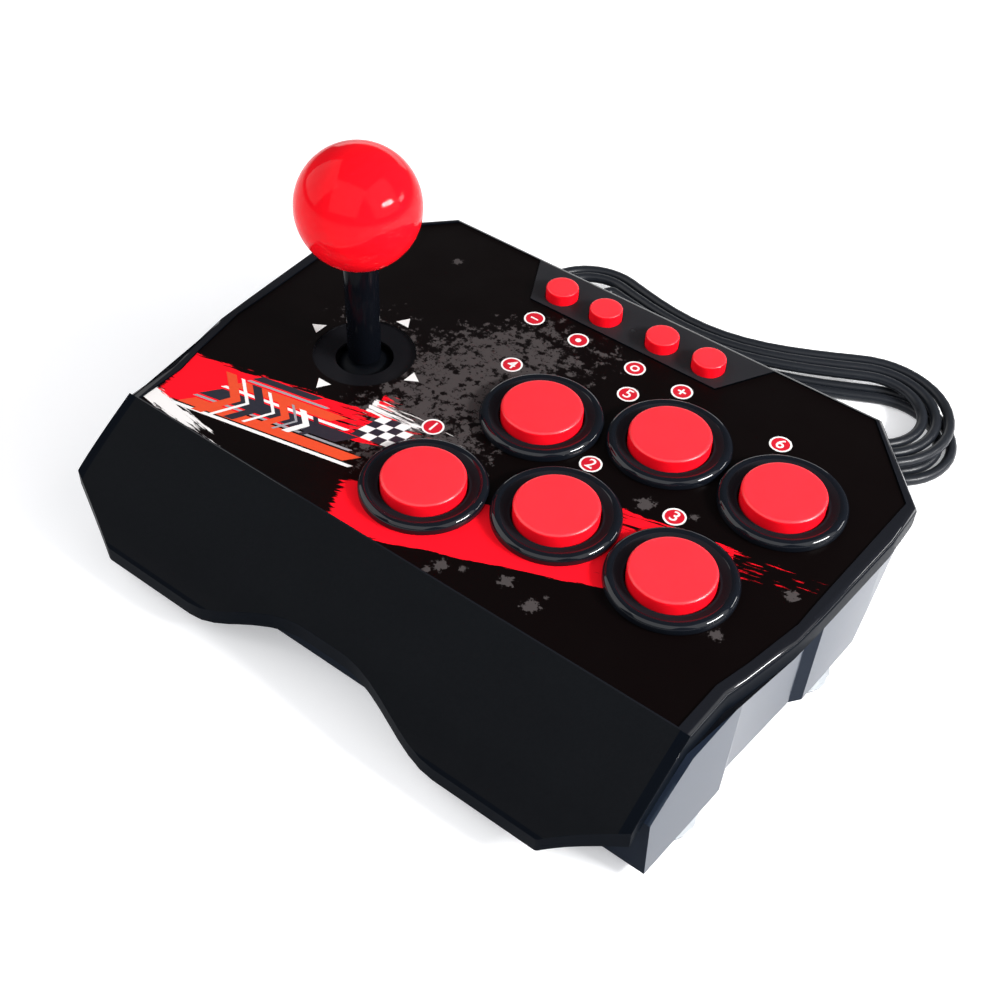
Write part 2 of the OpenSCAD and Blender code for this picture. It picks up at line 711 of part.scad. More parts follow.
// A push switch standing on a board whose top is at z
module push_switch(z) {
    block(switch_size, switch_size, z, z + switch_body_h);
    drum(switch_knob_r, z + switch_body_h, z + switch_h);
}

module button_switches() {
    color(switch_grey) on_panel() for (i = [0:5]) at(button_at(i)) push_switch(board_top);
}

module main_board() {
    color(board_green) on_panel() difference() {
        slab([[board_left, board_low_y], [board_right, board_low_y],
            [board_right, board_high_y], [board_left, board_high_y]],
            board_top - board_t, board_top);
        for (p = post_places) at(p)
            drum(small_screw_r + seam_gap, board_top - board_t * 2, board_top + overrun);
    }
}

chip_share = [0.37, 0.3];
socket_at = [inner_route[6][0], (inner_route[6][1] - seam_y) * cos(panel_tilt)
    + (inner_route[6][2] - seam_h) * sin(panel_tilt) - 4];
module board_parts() {
    color(switch_grey) on_panel() {
        at([blend(board_left, board_right, chip_share[0]),
            blend(board_low_y, board_high_y, chip_share[1])])
            block(switch_size * 2, switch_size * 2, board_top, board_top + board_t);
        at(socket_at) block(switch_size * 1.4, switch_size * 1.2, board_top,
            board_top + switch_h * 1.3);
    }
}

module small_screw(seat, up, length) {
    drum(small_screw_r, up ? seat - small_head_h : seat - length, up ? seat + length : seat);
    drum(small_head_r, up ? seat - small_head_h : seat, up ? seat : seat + small_head_h);
}

module inner_screws() {
    color(steel) on_panel() {
        for (p = post_places) at(p) small_screw(board_top, false, board_t + post_r * 0.9);
        for (x = [-1, 1]) at([x * menu_post_x, menu_y])
            small_screw(menu_board_top - board_t, true, board_t + wall * 1.5);
        at([stick_x, stick_y], -pivot_d) {
            for (x = [-1, 1]) for (y = [-1, 1]) at([x * carrier_screw, y * carrier_screw])
                small_screw(carrier_top - carrier_t, true, carrier_t + wall * 1.5);
            for (a = [0:90:270]) rotate(a) at([leg_at, 0])
                small_screw(gate_low, true, gate_t + board_t + wall);
        }
    }
}

module menu_cap(i) {
    edge = menu_r * 0.16;
    top = rim_rise + menu_h;
    flange_top = plate_low - seam_gap;
    color(button_red) on_panel() at([menu_x(i), menu_y]) rotate_extrude() polygon([
        [0, top], [menu_r - edge, top], [menu_r - edge * 0.3, top - edge * 0.3],
        [menu_r, top - edge], [menu_r, flange_top], [menu_flange_r, flange_top],
        [menu_flange_r, flange_top - menu_flange_h], [menu_stem_r, flange_top - menu_flange_h],
        [menu_stem_r, menu_stem_end], [0, menu_stem_end]]);
}
module menu_cap_1() { menu_cap(0); }
module menu_cap_2() { menu_cap(1); }
module menu_cap_3() { menu_cap(2); }
module menu_cap_4() { menu_cap(3); }

module menu_board() {
    color(board_green) on_panel() at([0, menu_y]) difference() {
        block(2 * menu_board_half, menu_board_d, menu_board_top - board_t, menu_board_top);
        for (x = [-1, 1]) at([x * menu_post_x, 0])
            drum(small_screw_r + seam_gap, menu_board_top - board_t * 2,
                menu_board_top + overrun);
    }
}

module menu_switches() {
    color(switch_grey) on_panel() for (i = [0:3]) at([menu_x(i), menu_y])
        push_switch(menu_board_top);
}

module light_pipe() {
    color(clear_white) on_panel() at([0, menu_y]) {
        drum(light_r, menu_board_top + switch_h / 2, rim_rise - fit_gap);
        drum(light_r * 2, menu_board_top, menu_board_top + switch_h / 2);
    }
}

module at_pivot() {
    on_panel() at([stick_x, stick_y], -pivot_d) children();
}

module ball_top() {
    color(button_red) at_pivot() translate([0, 0, ball_h + pivot_d]) difference() {
        sphere(r = ball_r, $fn = 96);
        drum(ball_r, -ball_r * 2, -ball_flat);
        drum(lever_r + fit_gap, -ball_r, lever_top - ball_h - pivot_d + fit_gap);
    }
}

module lever_shaft() {
    color(steel) at_pivot() difference() {
        drum(lever_r, lever_end, lever_top);
        rotate([90, 0, 0]) cylinder(r = pin_r + fit_gap / 2, h = lever_r * 4, center = true);
        difference() {
            drum(lever_r + overrun, clip_top - clip_t - fit_gap, clip_top + fit_gap);
            drum(groove_r, clip_top - clip_t * 2, clip_top + clip_t);
        }
    }
}

module shaft_sleeve() {
    color(shell_black) at_pivot() difference() {
        drum(sleeve_r, dome_flat + fit_gap, ball_h + pivot_d - ball_flat - fit_gap);
        drum(lever_r + fit_gap, 0, ball_h + pivot_d);
    }
}

module dust_dome() {
    color(shell_black) at_pivot() difference() {
        union() {
            intersection() {
                difference() {
                    sphere(r = dome_r);
                    sphere(r = dome_r - dome_t);
                }
                drum(dome_r + overrun, dome_rim, dome_flat);
            }
            drum(sleeve_r, hub_low, dome_flat);
        }
        drum(lever_r + fit_gap, 0, dome_r + overrun);
    }
}

module pivot_pin() {
    color(steel) at_pivot() rotate([90, 0, 0])
        cylinder(r = pin_r, h = 2 * ring_r * 0.97, center = true);
}

module actuator_collar() {
    color(shell_black) at_pivot() difference() {
        drum(collar_r, collar_low, collar_top);
        drum(lever_r + fit_gap, collar_low - overrun, collar_top + overrun);
    }
}

module spring_cup() {
    color(steel) at_pivot() difference() {
        drum(cup_r, cup_top - cup_t, cup_top);
        drum(lever_r + fit_gap, cup_top - cup_t - overrun, cup_top + overrun);
    }
}

module e_clip() {
    color(steel) at_pivot() difference() {
        drum(clip_r, clip_top - clip_t, clip_top);
        drum(groove_r + fit_gap, clip_top - clip_t - overrun, clip_top + overrun);
        translate([0, clip_r, 0]) block(groove_r * 1.4, 2 * clip_r,
            clip_top - clip_t - overrun, clip_top + overrun);
    }
}

module centering_spring() {
    color(steel) at_pivot() translate([0, 0, cup_top + fit_gap])
        coil(cup_r * 0.82, gate_half * 1.5, gate_low - cup_top - 2 * fit_gap,
            spring_wire_r, 4);
}

module gimbal_ring() {
    color(shell_black) at_pivot() difference() {
        drum(ring_r, -ring_half, ring_half);
        drum(ring_in, -ring_half - overrun, ring_half + overrun);
        rotate([90, 0, 0]) cylinder(r = pin_r + fit_gap, h = 3 * ring_r, center = true);
        rotate([0, 90, 0]) cylinder(r = pin_r + fit_gap / 2, h = 3 * ring_r, center = true);
    }
}

module gimbal_pins() {
    color(steel) at_pivot() for (s = [-1, 1]) rotate([0, s * 90, 0])
        drum(pin_r, ring_in + fit_gap, ear_out - fit_gap);
}

module stick_housing() {
    plate_under = carrier_top - carrier_t;
    color(shell_black) at_pivot() difference() {
        union() {
            block(2 * carrier_half, 2 * carrier_half, plate_under, carrier_top);
            for (s = [-1, 1]) translate([s * (ear_in + ear_out) / 2, 0, 0])
                block(ear_out - ear_in, 2 * ear_half, plate_under, ring_half);
            for (a = [0:90:270]) rotate(a) at([leg_at, 0])
                block(2 * leg_half, 2 * leg_half, stick_board_top, carrier_top);
        }
        difference() {
            drum(carrier_hole_r, plate_under - overrun, carrier_top + overrun);
            for (s = [-1, 1]) translate([s * (ear_in + ear_out) / 2, 0, 0])
                block(ear_out - ear_in, 2 * ear_half, plate_under - overrun,
                    carrier_top + overrun);
        }
        rotate([0, 90, 0]) cylinder(r = pin_r + fit_gap, h = 3 * ear_out, center = true);
        for (x = [-1, 1]) for (y = [-1, 1]) at([x * carrier_screw, y * carrier_screw])
            drum(small_screw_r + seam_gap, plate_under - overrun, carrier_top + overrun);
        for (a = [0:90:270]) rotate(a) at([leg_at, 0])
            drum(small_screw_r + fit_gap, stick_board_top - overrun,
                stick_board_top + wall * 1.5);
    }
}

module stick_board() {
    color(board_green) at_pivot() difference() {
        block(2 * stick_board_half, 2 * stick_board_half, gate_top, stick_board_top);
        drum(stick_board_hole_r, gate_top - overrun, stick_board_top + overrun);
        for (a = [0:90:270]) rotate(a) at([leg_at, 0])
            drum(small_screw_r + seam_gap, gate_top - overrun, stick_board_top + overrun);
    }
}

module stick_switches() {
    color(switch_grey) at_pivot() for (a = [0:90:270]) rotate(a) {
        translate([side_switch_in + side_switch_d / 2, 0, 0])
            block(side_switch_d, side_switch_w, stick_board_top,
                stick_board_top + side_switch_h);
        translate([0, 0, side_knob_z]) rotate([0, 90, 0])
            drum(side_knob_r, side_knob_tip, side_switch_in);
    }
}

module restrictor_gate() {
    color(shell_black) at_pivot() difference() {
        block(2 * stick_board_half, 2 * stick_board_half, gate_low, gate_top);
        block(2 * gate_half, 2 * gate_half, gate_low - overrun, gate_top + overrun);
        for (a = [0:90:270]) rotate(a) at([leg_at, 0])
            drum(small_screw_r + seam_gap, gate_low - overrun, gate_top + overrun);
    }
}

// Two flat cables between the boards, and the cord's inner end
ribbon_t = 0.8;
ribbon_w = 9;
ribbon_lap = 3;
module ribbon(line) {
    rotate([90, 0, 0]) linear_extrude(ribbon_w, center = true) polygon(concat(line,
        backwards([for (p = line) p + [0, ribbon_t]])));
}
module inner_wiring() {
    color(switch_grey) {
        on_panel() {
            translate([0, stick_y + leg_at * 0.55, 0]) ribbon([
                [stick_x + stick_board_half - ribbon_lap, stick_board_top - pivot_d],
                [stick_x + stick_board_half + ribbon_t, stick_board_top - pivot_d],
                [board_left - ribbon_t, board_top], [board_left + ribbon_lap, board_top]]);
            translate([menu_pitch, 0, 0]) rotate(90) ribbon([
                [board_high_y - ribbon_lap, board_top], [board_high_y + ribbon_t, board_top],
                [menu_y - menu_board_d / 2 - ribbon_t, menu_board_top - board_t - ribbon_t],
                [menu_y - menu_board_d / 2 + ribbon_lap,
                    menu_board_top - board_t - ribbon_t]]);
        }
        tube(smooth(inner_route, 2), cord_d / 2, 8);
    }
}

module strain_relief() {
    color(cord_black) translate([cord_x, 0, cord_z]) rotate([-90, 0, 0]) rotate_extrude()
        polygon([[0, boot_inner_y], [boot_flange_r, boot_inner_y],
            [boot_flange_r, boot_inner_y + boot_flange_t],
            [boot_neck_r, boot_inner_y + boot_flange_t], [boot_neck_r, boot_outer_y],
            [boot_flange_r, boot_outer_y], [boot_flange_r, boot_outer_y + boot_flange_t / 2],
            [boot_neck_r, boot_outer_y + boot_flange_t], [cord_d * 0.62, boot_tip_y],
            [0, boot_tip_y]]);
}

module usb_cord() {
    color(cord_black) {
        tube_part(cord_line, 0, hank_from, cord_d / 2, 8);
        tube_part(cord_line, hank_to, len(cord_line) - 1, cord_d / 2, 8);
    }
}

module cord_hank() {
    color(cord_black) tube_part(cord_line, hank_from, hank_to, cord_d / 2, 6);
}

module plug_body() {
    color(cord_black) translate(plug_at) difference() {
        union() {
            translate([-plug_l, -plug_w / 2, -plug_t / 2]) cube([plug_l * 0.8, plug_w, plug_t]);
            translate([-plug_l * 0.21, 0, 0]) rotate([0, 90, 0])
                cylinder(r1 = plug_t * 0.45, r2 = cord_d * 0.62, h = plug_l * 0.21);
        }
    }
}

module plug_shell() {
    skin_t = 0.4;
    color(steel) translate(plug_at - [plug_l + shell_l, 0, 0]) difference() {
        translate([0, -shell_w / 2, -shell_t / 2]) cube([shell_l, shell_w, shell_t]);
        difference() {
            translate([-overrun, skin_t - shell_w / 2, skin_t - shell_t / 2])
                cube([shell_l * 0.6, shell_w - 2 * skin_t, shell_t - 2 * skin_t]);
            translate([-overrun, -shell_w / 2, 0])
                cube([shell_l, shell_w, shell_t]);
        }
    }
}

upper_shell();
lower_shell();
graphic_overlay();
housing_screws();
cup_front_left();
cup_front_right();
cup_rear_left();
cup_rear_right();
bezel_1();
bezel_2();
bezel_3();
bezel_4();
bezel_5();
bezel_6();
cap_1();
cap_2();
cap_3();
cap_4();
cap_5();
cap_6();
spring_1();
spring_2();
spring_3();
spring_4();
spring_5();
spring_6();
bezel_nuts();
button_switches();
main_board();
board_parts();
inner_screws();
menu_cap_1();
menu_cap_2();
menu_cap_3();
menu_cap_4();
menu_board();
menu_switches();
light_pipe();
ball_top();
lever_shaft();
shaft_sleeve();
dust_dome();
pivot_pin();
actuator_collar();
spring_cup();
e_clip();
centering_spring();
gimbal_ring();
gimbal_pins();
stick_housing();
stick_board();
stick_switches();
restrictor_gate();
inner_wiring();
strain_relief();
usb_cord();
cord_hank();
plug_body();
plug_shell();
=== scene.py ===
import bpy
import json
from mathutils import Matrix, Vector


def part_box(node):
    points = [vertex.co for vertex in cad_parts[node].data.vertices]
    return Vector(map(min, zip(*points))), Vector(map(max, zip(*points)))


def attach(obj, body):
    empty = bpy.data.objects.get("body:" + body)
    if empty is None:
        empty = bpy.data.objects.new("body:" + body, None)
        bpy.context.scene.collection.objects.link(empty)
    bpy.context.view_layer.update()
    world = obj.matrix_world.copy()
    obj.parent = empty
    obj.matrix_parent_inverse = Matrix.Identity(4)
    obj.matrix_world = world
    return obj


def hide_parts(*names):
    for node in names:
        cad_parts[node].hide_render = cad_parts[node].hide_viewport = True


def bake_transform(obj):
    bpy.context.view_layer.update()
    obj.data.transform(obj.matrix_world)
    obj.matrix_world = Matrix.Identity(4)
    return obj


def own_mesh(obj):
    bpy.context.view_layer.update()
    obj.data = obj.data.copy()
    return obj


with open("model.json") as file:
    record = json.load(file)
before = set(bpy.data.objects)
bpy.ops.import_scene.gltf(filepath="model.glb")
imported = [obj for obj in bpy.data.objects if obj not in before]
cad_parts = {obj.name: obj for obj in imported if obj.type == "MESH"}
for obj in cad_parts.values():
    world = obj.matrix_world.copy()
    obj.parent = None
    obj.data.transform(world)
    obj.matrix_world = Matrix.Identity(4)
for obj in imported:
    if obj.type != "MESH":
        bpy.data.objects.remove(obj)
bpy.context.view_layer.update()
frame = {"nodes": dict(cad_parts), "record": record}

import json
from math import cos, pi, radians, sin

import bpy
import bmesh
from mathutils import Matrix, Vector

nodes = frame["nodes"]
mm = 0.001

# Camera and studio. The camera looks down on the panel from the front right. Two small
# softboxes give the narrow highlights and the broad ones light the pale table. The room
# stays dim so that black stays black, and only the camera sees the grey backdrop.
bpy.ops.object.select_all(action="DESELECT")
bpy.ops.object.camera_add(location=(0.17102, -0.24717, 0.29947),
                          rotation=(radians(47.037), radians(-3.452), radians(37.565)))
camera = bpy.context.object
camera.name = "camera"
camera.data.lens = 52.25
bpy.context.scene.camera = camera


def softbox(name, place, width, height, power, turn=0):
    """A lamp that faces the controller, its sizes in metres and its power in watts."""
    bpy.ops.object.light_add(type="AREA", location=place)
    light = bpy.context.object
    light.name = name
    light.data.shape = "RECTANGLE"
    light.data.size, light.data.size_y = width, height
    light.data.energy = power
    facing = Vector(place).to_track_quat("Z", "Y").to_matrix()
    light.rotation_euler = (facing @ Matrix.Rotation(radians(turn), 3, "Z")).to_euler()


softbox("key_softbox", (0.622, 0.13, 0.393), 0.08, 0.28, 8, turn=-95)
softbox("rim_softbox", (0.5, 0.495, 0.27), 0.06, 0.2, 0.8, turn=-90)
softbox("front_softbox", (0.24, -1.15, 1.09), 1.6, 1.6, 12)
softbox("right_softbox", (1.28, 0.16, 0.94), 1.6, 1.6, 12)
softbox("left_softbox", (-1.2, -0.56, 0.9), 1.6, 1.6, 14)
softbox("rear_softbox", (-0.9, 1.5, 0.3), 1.6, 0.4, 4)

world = bpy.data.worlds.new("studio_room")
bpy.context.scene.world = world
world.use_nodes = True
studio = world.node_tree
room = studio.nodes["Background"]
room.inputs["Color"].default_value = (0.93, 0.95, 1, 1)
room.inputs["Strength"].default_value = 0.12
backdrop = studio.nodes.new("ShaderNodeBackground")
backdrop.inputs["Color"].default_value = (0.97, 0.98, 1, 1)
backdrop.inputs["Strength"].default_value = 0.42
seen = studio.nodes.new("ShaderNodeLightPath")
either = studio.nodes.new("ShaderNodeMixShader")
studio.links.new(seen.outputs["Is Camera Ray"], either.inputs[0])
studio.links.new(room.outputs[0], either.inputs[1])
studio.links.new(backdrop.outputs[0], either.inputs[2])
studio.links.new(either.outputs[0], studio.nodes["World Output"].inputs[0])
bpy.context.scene.view_settings.view_transform = "Standard"

table_side = 40
bpy.ops.mesh.primitive_plane_add(size=table_side, location=(0, 0, 0))
table = bpy.context.object
table.name = "table"
table_finish = bpy.data.materials.new("pale_table")
table_finish.use_nodes = True
table_shader = table_finish.node_tree.nodes["Principled BSDF"]
table_shader.inputs["Base Color"].default_value = (0.93, 0.93, 0.94, 1)
table_shader.inputs["Roughness"].default_value = 0.7
table_shader.inputs["Emission Color"].default_value = (0.97, 0.98, 1, 1)
table_shader.inputs["Emission Strength"].default_value = 0.3
table.data.materials.append(table_finish)

# USB lead. A limp round PVC lead of 3.5 mm, bought as 1.8 m; it comes out of the rear
# wall, drops to the table, lies there wound as a hank of two lobes, and ends in its plug.
# Its route repeats the one in the part's source.
cord_d = 3.5 * mm
lead_in = [(48, 86, 16), (48, 88, 16), (48, 90, 16), (46.8, 92.4, 14.6), (43.4, 93.6, 12),
           (39, 94, 9.2), (34, 94.2, 6.4), (28, 94.4, 3.8), (22, 94.8, 2.2)]
tail_out = [(0, 96.3, 6.3), (-6, 94.9, 6.2), (-13, 92.6, 6.1), (-20, 90, 5.8), (-27, 87.2, 5),
            (-34, 84.6, 4.4), (-41, 83.2, 4.2), (-45, 83, 4.2), (-49, 83, 4.2), (-53, 83, 4.2)]
right_lobe, right_lobe_r, right_lobe_turn = Vector((64, 124)), 26, (123, -87)
left_lobe, left_lobe_r, left_lobe_turn = Vector((-38, 112)), 20, (-87, -284)
upper_dip, hank_turns, start_share = 12, 5, 11 / 12
turn_step, layer_step, layer_shift, hank_z = 4.4, 4.4, Vector((-8, 4)), 1.85
climb_from, climb_share, shift_share = 2.15, 0.14, 0.16
climb_to = climb_from + climb_share
steps_a_turn, steps_a_span = 72, 6


def lobe(centre, radius, angle):
    """A point on the rim of one of the hank's round ends."""
    return centre + radius * Vector((cos(radians(angle)), sin(radians(angle))))


def between(a, b, share):
    return a + (b - a) * share


def turn_place(share, step_in):
    """Where the cord lies after a share of one turn, seen from above."""
    right_r, left_r = right_lobe_r - step_in, left_lobe_r - step_in
    if share < 1 / 3:
        return lobe(left_lobe, left_r, between(*left_lobe_turn, share * 3))
    if share < 1 / 2:
        f = (share - 1 / 3) * 6
        line = between(lobe(left_lobe, left_r, left_lobe_turn[1]),
                       lobe(right_lobe, right_r, right_lobe_turn[0]), f)
        return line - Vector((0, upper_dip * sin(pi * f)))
    if share < 5 / 6:
        return lobe(right_lobe, right_r, between(*right_lobe_turn, (share - 1 / 2) * 3))
    return between(lobe(right_lobe, right_r, right_lobe_turn[1]),
                   lobe(left_lobe, left_r, left_lobe_turn[0]), (share - 5 / 6) * 6)


def eased(share):
    return (1 - cos(pi * min(1, max(0, share)))) / 2


def hank_point(turn):
    """A point of the hank, whose later turns climb and lie on the first ones."""
    if turn < climb_from:
        turns_in = turn
    else:
        turns_in = climb_from - max(0, turn - climb_to - shift_share)
    place = turn_place((turn + start_share) % 1, turn_step * turns_in)
    place = place + eased((turn - climb_to) / shift_share) * layer_shift
    return Vector((*place, hank_z + layer_step * eased((turn - climb_from) / climb_share)))


def smooth_line(points, steps):
    """A smooth line through all of the points."""
    points = [Vector(p) for p in points]
    line = []
    for i in range(len(points) - 1):
        a, b, c = points[max(0, i - 1)], points[i], points[i + 1]
        d = points[min(len(points) - 1, i + 2)]
        for k in range(steps):
            f = k / steps
            line.append((2 * b + (c - a) * f + (2 * a - 5 * b + 4 * c - d) * f ** 2
                         + (3 * b - a - 3 * c + d) * f ** 3) / 2)
    return line + [points[-1]]


hank = [hank_point(i / steps_a_turn) for i in range(hank_turns * steps_a_turn + 1)]
cord_line = [p * mm for p in smooth_line(lead_in, steps_a_span) + hank
             + smooth_line(tail_out, steps_a_span)]


def wire(name, line, radius, roundness):
    """A round wire along a line, as a curve of one open spline."""
    curve = bpy.data.curves.new(name, "CURVE")
    curve.dimensions = "3D"
    curve.bevel_depth = radius
    curve.bevel_resolution = roundness
    curve.use_fill_caps = True
    spline = curve.splines.new("POLY")
    spline.points.add(len(line) - 1)
    for point, place in zip(spline.points, line):
        point.co = (*place, 1)
    piece = bpy.data.objects.new(name, curve)
    bpy.context.scene.collection.objects.link(piece)
    return piece


usb_lead = wire("usb_lead", cord_line, cord_d / 2, 5)


# The finishes share two effects. "Moulded surface" gives plastic its faint cloudiness, a
# fine grain and uneven gloss; "Settled dust" greys what faces up. Both read the object's
# own place, and a finish gives their sizes in millimetres.
def feed(tree, sockets, values):
    """Links or sets inputs one by one; None leaves an input as it is."""
    for socket, value in zip(sockets, values):
        if isinstance(value, bpy.types.NodeSocket):
            tree.links.new(value, socket)
        elif value is not None:
            socket.default_value = value


def put(tree, kind, **values):
    """Adds a node. A small first letter names one of its settings, a capital an input."""
    node = tree.nodes.new(kind)
    for key, value in values.items():
        if key[0].islower():
            setattr(node, key, value)
        else:
            feed(tree, [node.inputs[key.replace("_", " ")]], [value])
    return node


def sum_of(tree, operation, *values, clamp=False):
    """What a math node makes of numbers and sockets."""
    node = put(tree, "ShaderNodeMath", operation=operation, use_clamp=clamp)
    feed(tree, node.inputs, values)
    return node.outputs[0]


def vector_of(tree, operation, *values):
    """What a vector math node makes of vectors and sockets."""
    node = put(tree, "ShaderNodeVectorMath", operation=operation)
    feed(tree, node.inputs, values)
    return node.outputs["Value" if operation in ("DISTANCE", "LENGTH") else "Vector"]


def mixed(tree, mask, *colours):
    """The first of two colours where the mask is 0, the second where it is 1."""
    node = put(tree, "ShaderNodeMix", data_type="RGBA", Factor=mask)
    feed(tree, node.inputs[6:8], colours)
    return node.outputs[2]


def new_group(name, inputs, outputs):
    """A node group, with what comes into it and what goes out of it."""
    tree = bpy.data.node_groups.new(name, "ShaderNodeTree")
    for label, (kind, value) in inputs.items():
        socket = tree.interface.new_socket(label, in_out="INPUT", socket_type=kind)
        socket.default_value = value
    for label, kind in outputs.items():
        tree.interface.new_socket(label, in_out="OUTPUT", socket_type=kind)
    return tree, put(tree, "NodeGroupInput").outputs, put(tree, "NodeGroupOutput").inputs


surface, given, result = new_group("Moulded surface", {
    "Colour": ("NodeSocketColor", (0.5, 0.5, 0.5, 1)),
    "Cloud Colour": ("NodeSocketColor", (0.5, 0.5, 0.5, 1)),
    "Cloud Size": ("NodeSocketFloat", 20),
    "Grain Size": ("NodeSocketFloat", 0.4),
    "Grain Depth": ("NodeSocketFloat", 0.004),
    "Roughness": ("NodeSocketFloat", 0.3),
    "Roughness Spread": ("NodeSocketFloat", 0.08)},
    {"Colour": "NodeSocketColor", "Roughness": "NodeSocketFloat", "Normal": "NodeSocketVector"})
place = put(surface, "ShaderNodeTexCoord").outputs["Object"]
cloud = put(surface, "ShaderNodeTexNoise", Detail=4, Roughness=0.6, Vector=place,
            Scale=sum_of(surface, "DIVIDE", 1 / mm, given["Cloud Size"]))
grain = put(surface, "ShaderNodeTexNoise", Detail=2, Roughness=0.5, Vector=place,
            Scale=sum_of(surface, "DIVIDE", 1 / mm, given["Grain Size"]))
gloss = sum_of(surface, "SUBTRACT", cloud.outputs["Fac"], 0.5)
bump = put(surface, "ShaderNodeBump", Strength=1.0, Height=grain.outputs["Fac"],
           Distance=sum_of(surface, "MULTIPLY", given["Grain Depth"], mm))
feed(surface, result, (
    mixed(surface, cloud.outputs["Fac"], given["Colour"], given["Cloud Colour"]),
    sum_of(surface, "MULTIPLY_ADD", gloss, given["Roughness Spread"], given["Roughness"]),
    bump.outputs["Normal"]))

dust, given, result = new_group("Settled dust", {
    "Colour": ("NodeSocketColor", (0.5, 0.5, 0.5, 1)),
    "Dust Colour": ("NodeSocketColor", (0.3, 0.3, 0.3, 1)),
    "Amount": ("NodeSocketFloat", 0.05)}, {"Colour": "NodeSocketColor"})
facing = put(dust, "ShaderNodeSeparateXYZ",
             Vector=put(dust, "ShaderNodeNewGeometry").outputs["Normal"])
specks = put(dust, "ShaderNodeTexNoise", Scale=900, Detail=3, Roughness=0.7,
             Vector=put(dust, "ShaderNodeTexCoord").outputs["Object"])
lying = sum_of(dust, "MULTIPLY", facing.outputs["Z"], specks.outputs["Fac"], clamp=True)
settled = sum_of(dust, "MULTIPLY", lying, given["Amount"], clamp=True)
feed(dust, result, [mixed(dust, settled, given["Colour"], given["Dust Colour"])])


def finish(name, colour, cloud, cloud_size=20, grain_size=0.4, grain_depth=0.004,
           roughness=0.3, spread=0.08, dust_amount=0.0, **shader_values):
    """A finish made of the two shared effects, with its constant values on the shader."""
    material = bpy.data.materials.new(name)
    material.use_nodes = True
    tree = material.node_tree
    shader = tree.nodes["Principled BSDF"]
    for key, value in shader_values.items():
        shader.inputs[key.replace("_", " ").title().replace("Ior", "IOR")].default_value = value
    moulded = put(tree, "ShaderNodeGroup", node_tree=surface, Colour=(*colour, 1),
                  Cloud_Colour=(*cloud, 1), Cloud_Size=cloud_size, Grain_Size=grain_size,
                  Grain_Depth=grain_depth, Roughness=roughness, Roughness_Spread=spread)
    shown = moulded.outputs["Colour"]
    if dust_amount:
        shown = put(tree, "ShaderNodeGroup", node_tree=dust, Colour=shown, Amount=dust_amount,
                    Dust_Colour=(0.35, 0.34, 0.33, 1)).outputs["Colour"]
    for label, value in (("Base Color", shown), ("Roughness", moulded.outputs["Roughness"]),
                         ("Normal", moulded.outputs["Normal"])):
        tree.links.new(value, shader.inputs[label])
    return material


def dress(piece, material, body, slot, *replaced):
    piece.data.materials.clear()
    piece.data.materials.append(material)
    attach(piece, body)
    if replaced:
        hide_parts(*replaced)
    return piece


cord_skin = finish("cord_vinyl", (0.0045, 0.006, 0.009), (0.0085, 0.0105, 0.015), cloud_size=30,
                   grain_size=0.25, grain_depth=0.004, roughness=0.34, spread=0.12,
                   dust_amount=0.03, specular_ior_level=0.22)
dress(usb_lead, cord_skin, "base", "cord_black", "usb_cord", "cord_hank")


# Plug and strain relief. The plug is a moulded grip, tapered and hollowed for the fingers,
# over a nickel-plated folded shell; the relief is a ribbed rubber boot clipped into the
# rear wall.
def only_selected(*pieces):
    bpy.ops.object.select_all(action="DESELECT")
    for piece in pieces:
        piece.select_set(True)
    bpy.context.view_layer.objects.active = pieces[0]


def applied():
    bpy.ops.object.transform_apply(location=True, rotation=True, scale=True)


def turned(name, outline, sides=64):
    """Turns an outline of (radius, height) pairs, in millimetres, about the Z axis."""
    bpy.ops.object.select_all(action="DESELECT")
    radius, height = outline[0]
    bpy.ops.mesh.primitive_circle_add(vertices=sides, radius=radius * mm,
                                      location=(0, 0, height * mm))
    piece = bpy.context.object
    piece.name = name
    applied()
    pole = 1e-4
    bpy.ops.object.mode_set(mode="EDIT")
    bpy.ops.mesh.select_all(action="SELECT")
    for next_radius, next_height in outline[1:]:
        next_radius = max(next_radius, pole)
        share = next_radius / radius
        bpy.ops.mesh.extrude_edges_move()
        bpy.ops.transform.resize(value=(share, share, 1), center_override=(0, 0, height * mm))
        bpy.ops.transform.translate(value=(0, 0, (next_height - height) * mm))
        radius, height = next_radius, next_height
    if radius == pole:
        bpy.ops.mesh.merge(type="CENTER")
    bpy.ops.mesh.select_all(action="SELECT")
    bpy.ops.mesh.remove_doubles(threshold=1e-7)
    bpy.ops.mesh.normals_make_consistent(inside=False)
    bpy.ops.object.mode_set(mode="OBJECT")
    return piece


def smoothed(piece, angle=35):
    """Smooth shading, with an edge wherever two faces meet at more than the angle."""
    only_selected(piece)
    bpy.ops.object.shade_smooth_by_angle(angle=radians(angle))
    return piece


def arc(centre_r, centre_z, radius, start, end, steps=6):
    """Points of an outline's rounded corner, from one angle to another in degrees."""
    return [(centre_r + radius * cos(radians(between(start, end, i / steps))),
             centre_z + radius * sin(radians(between(start, end, i / steps))))
            for i in range(steps + 1)]


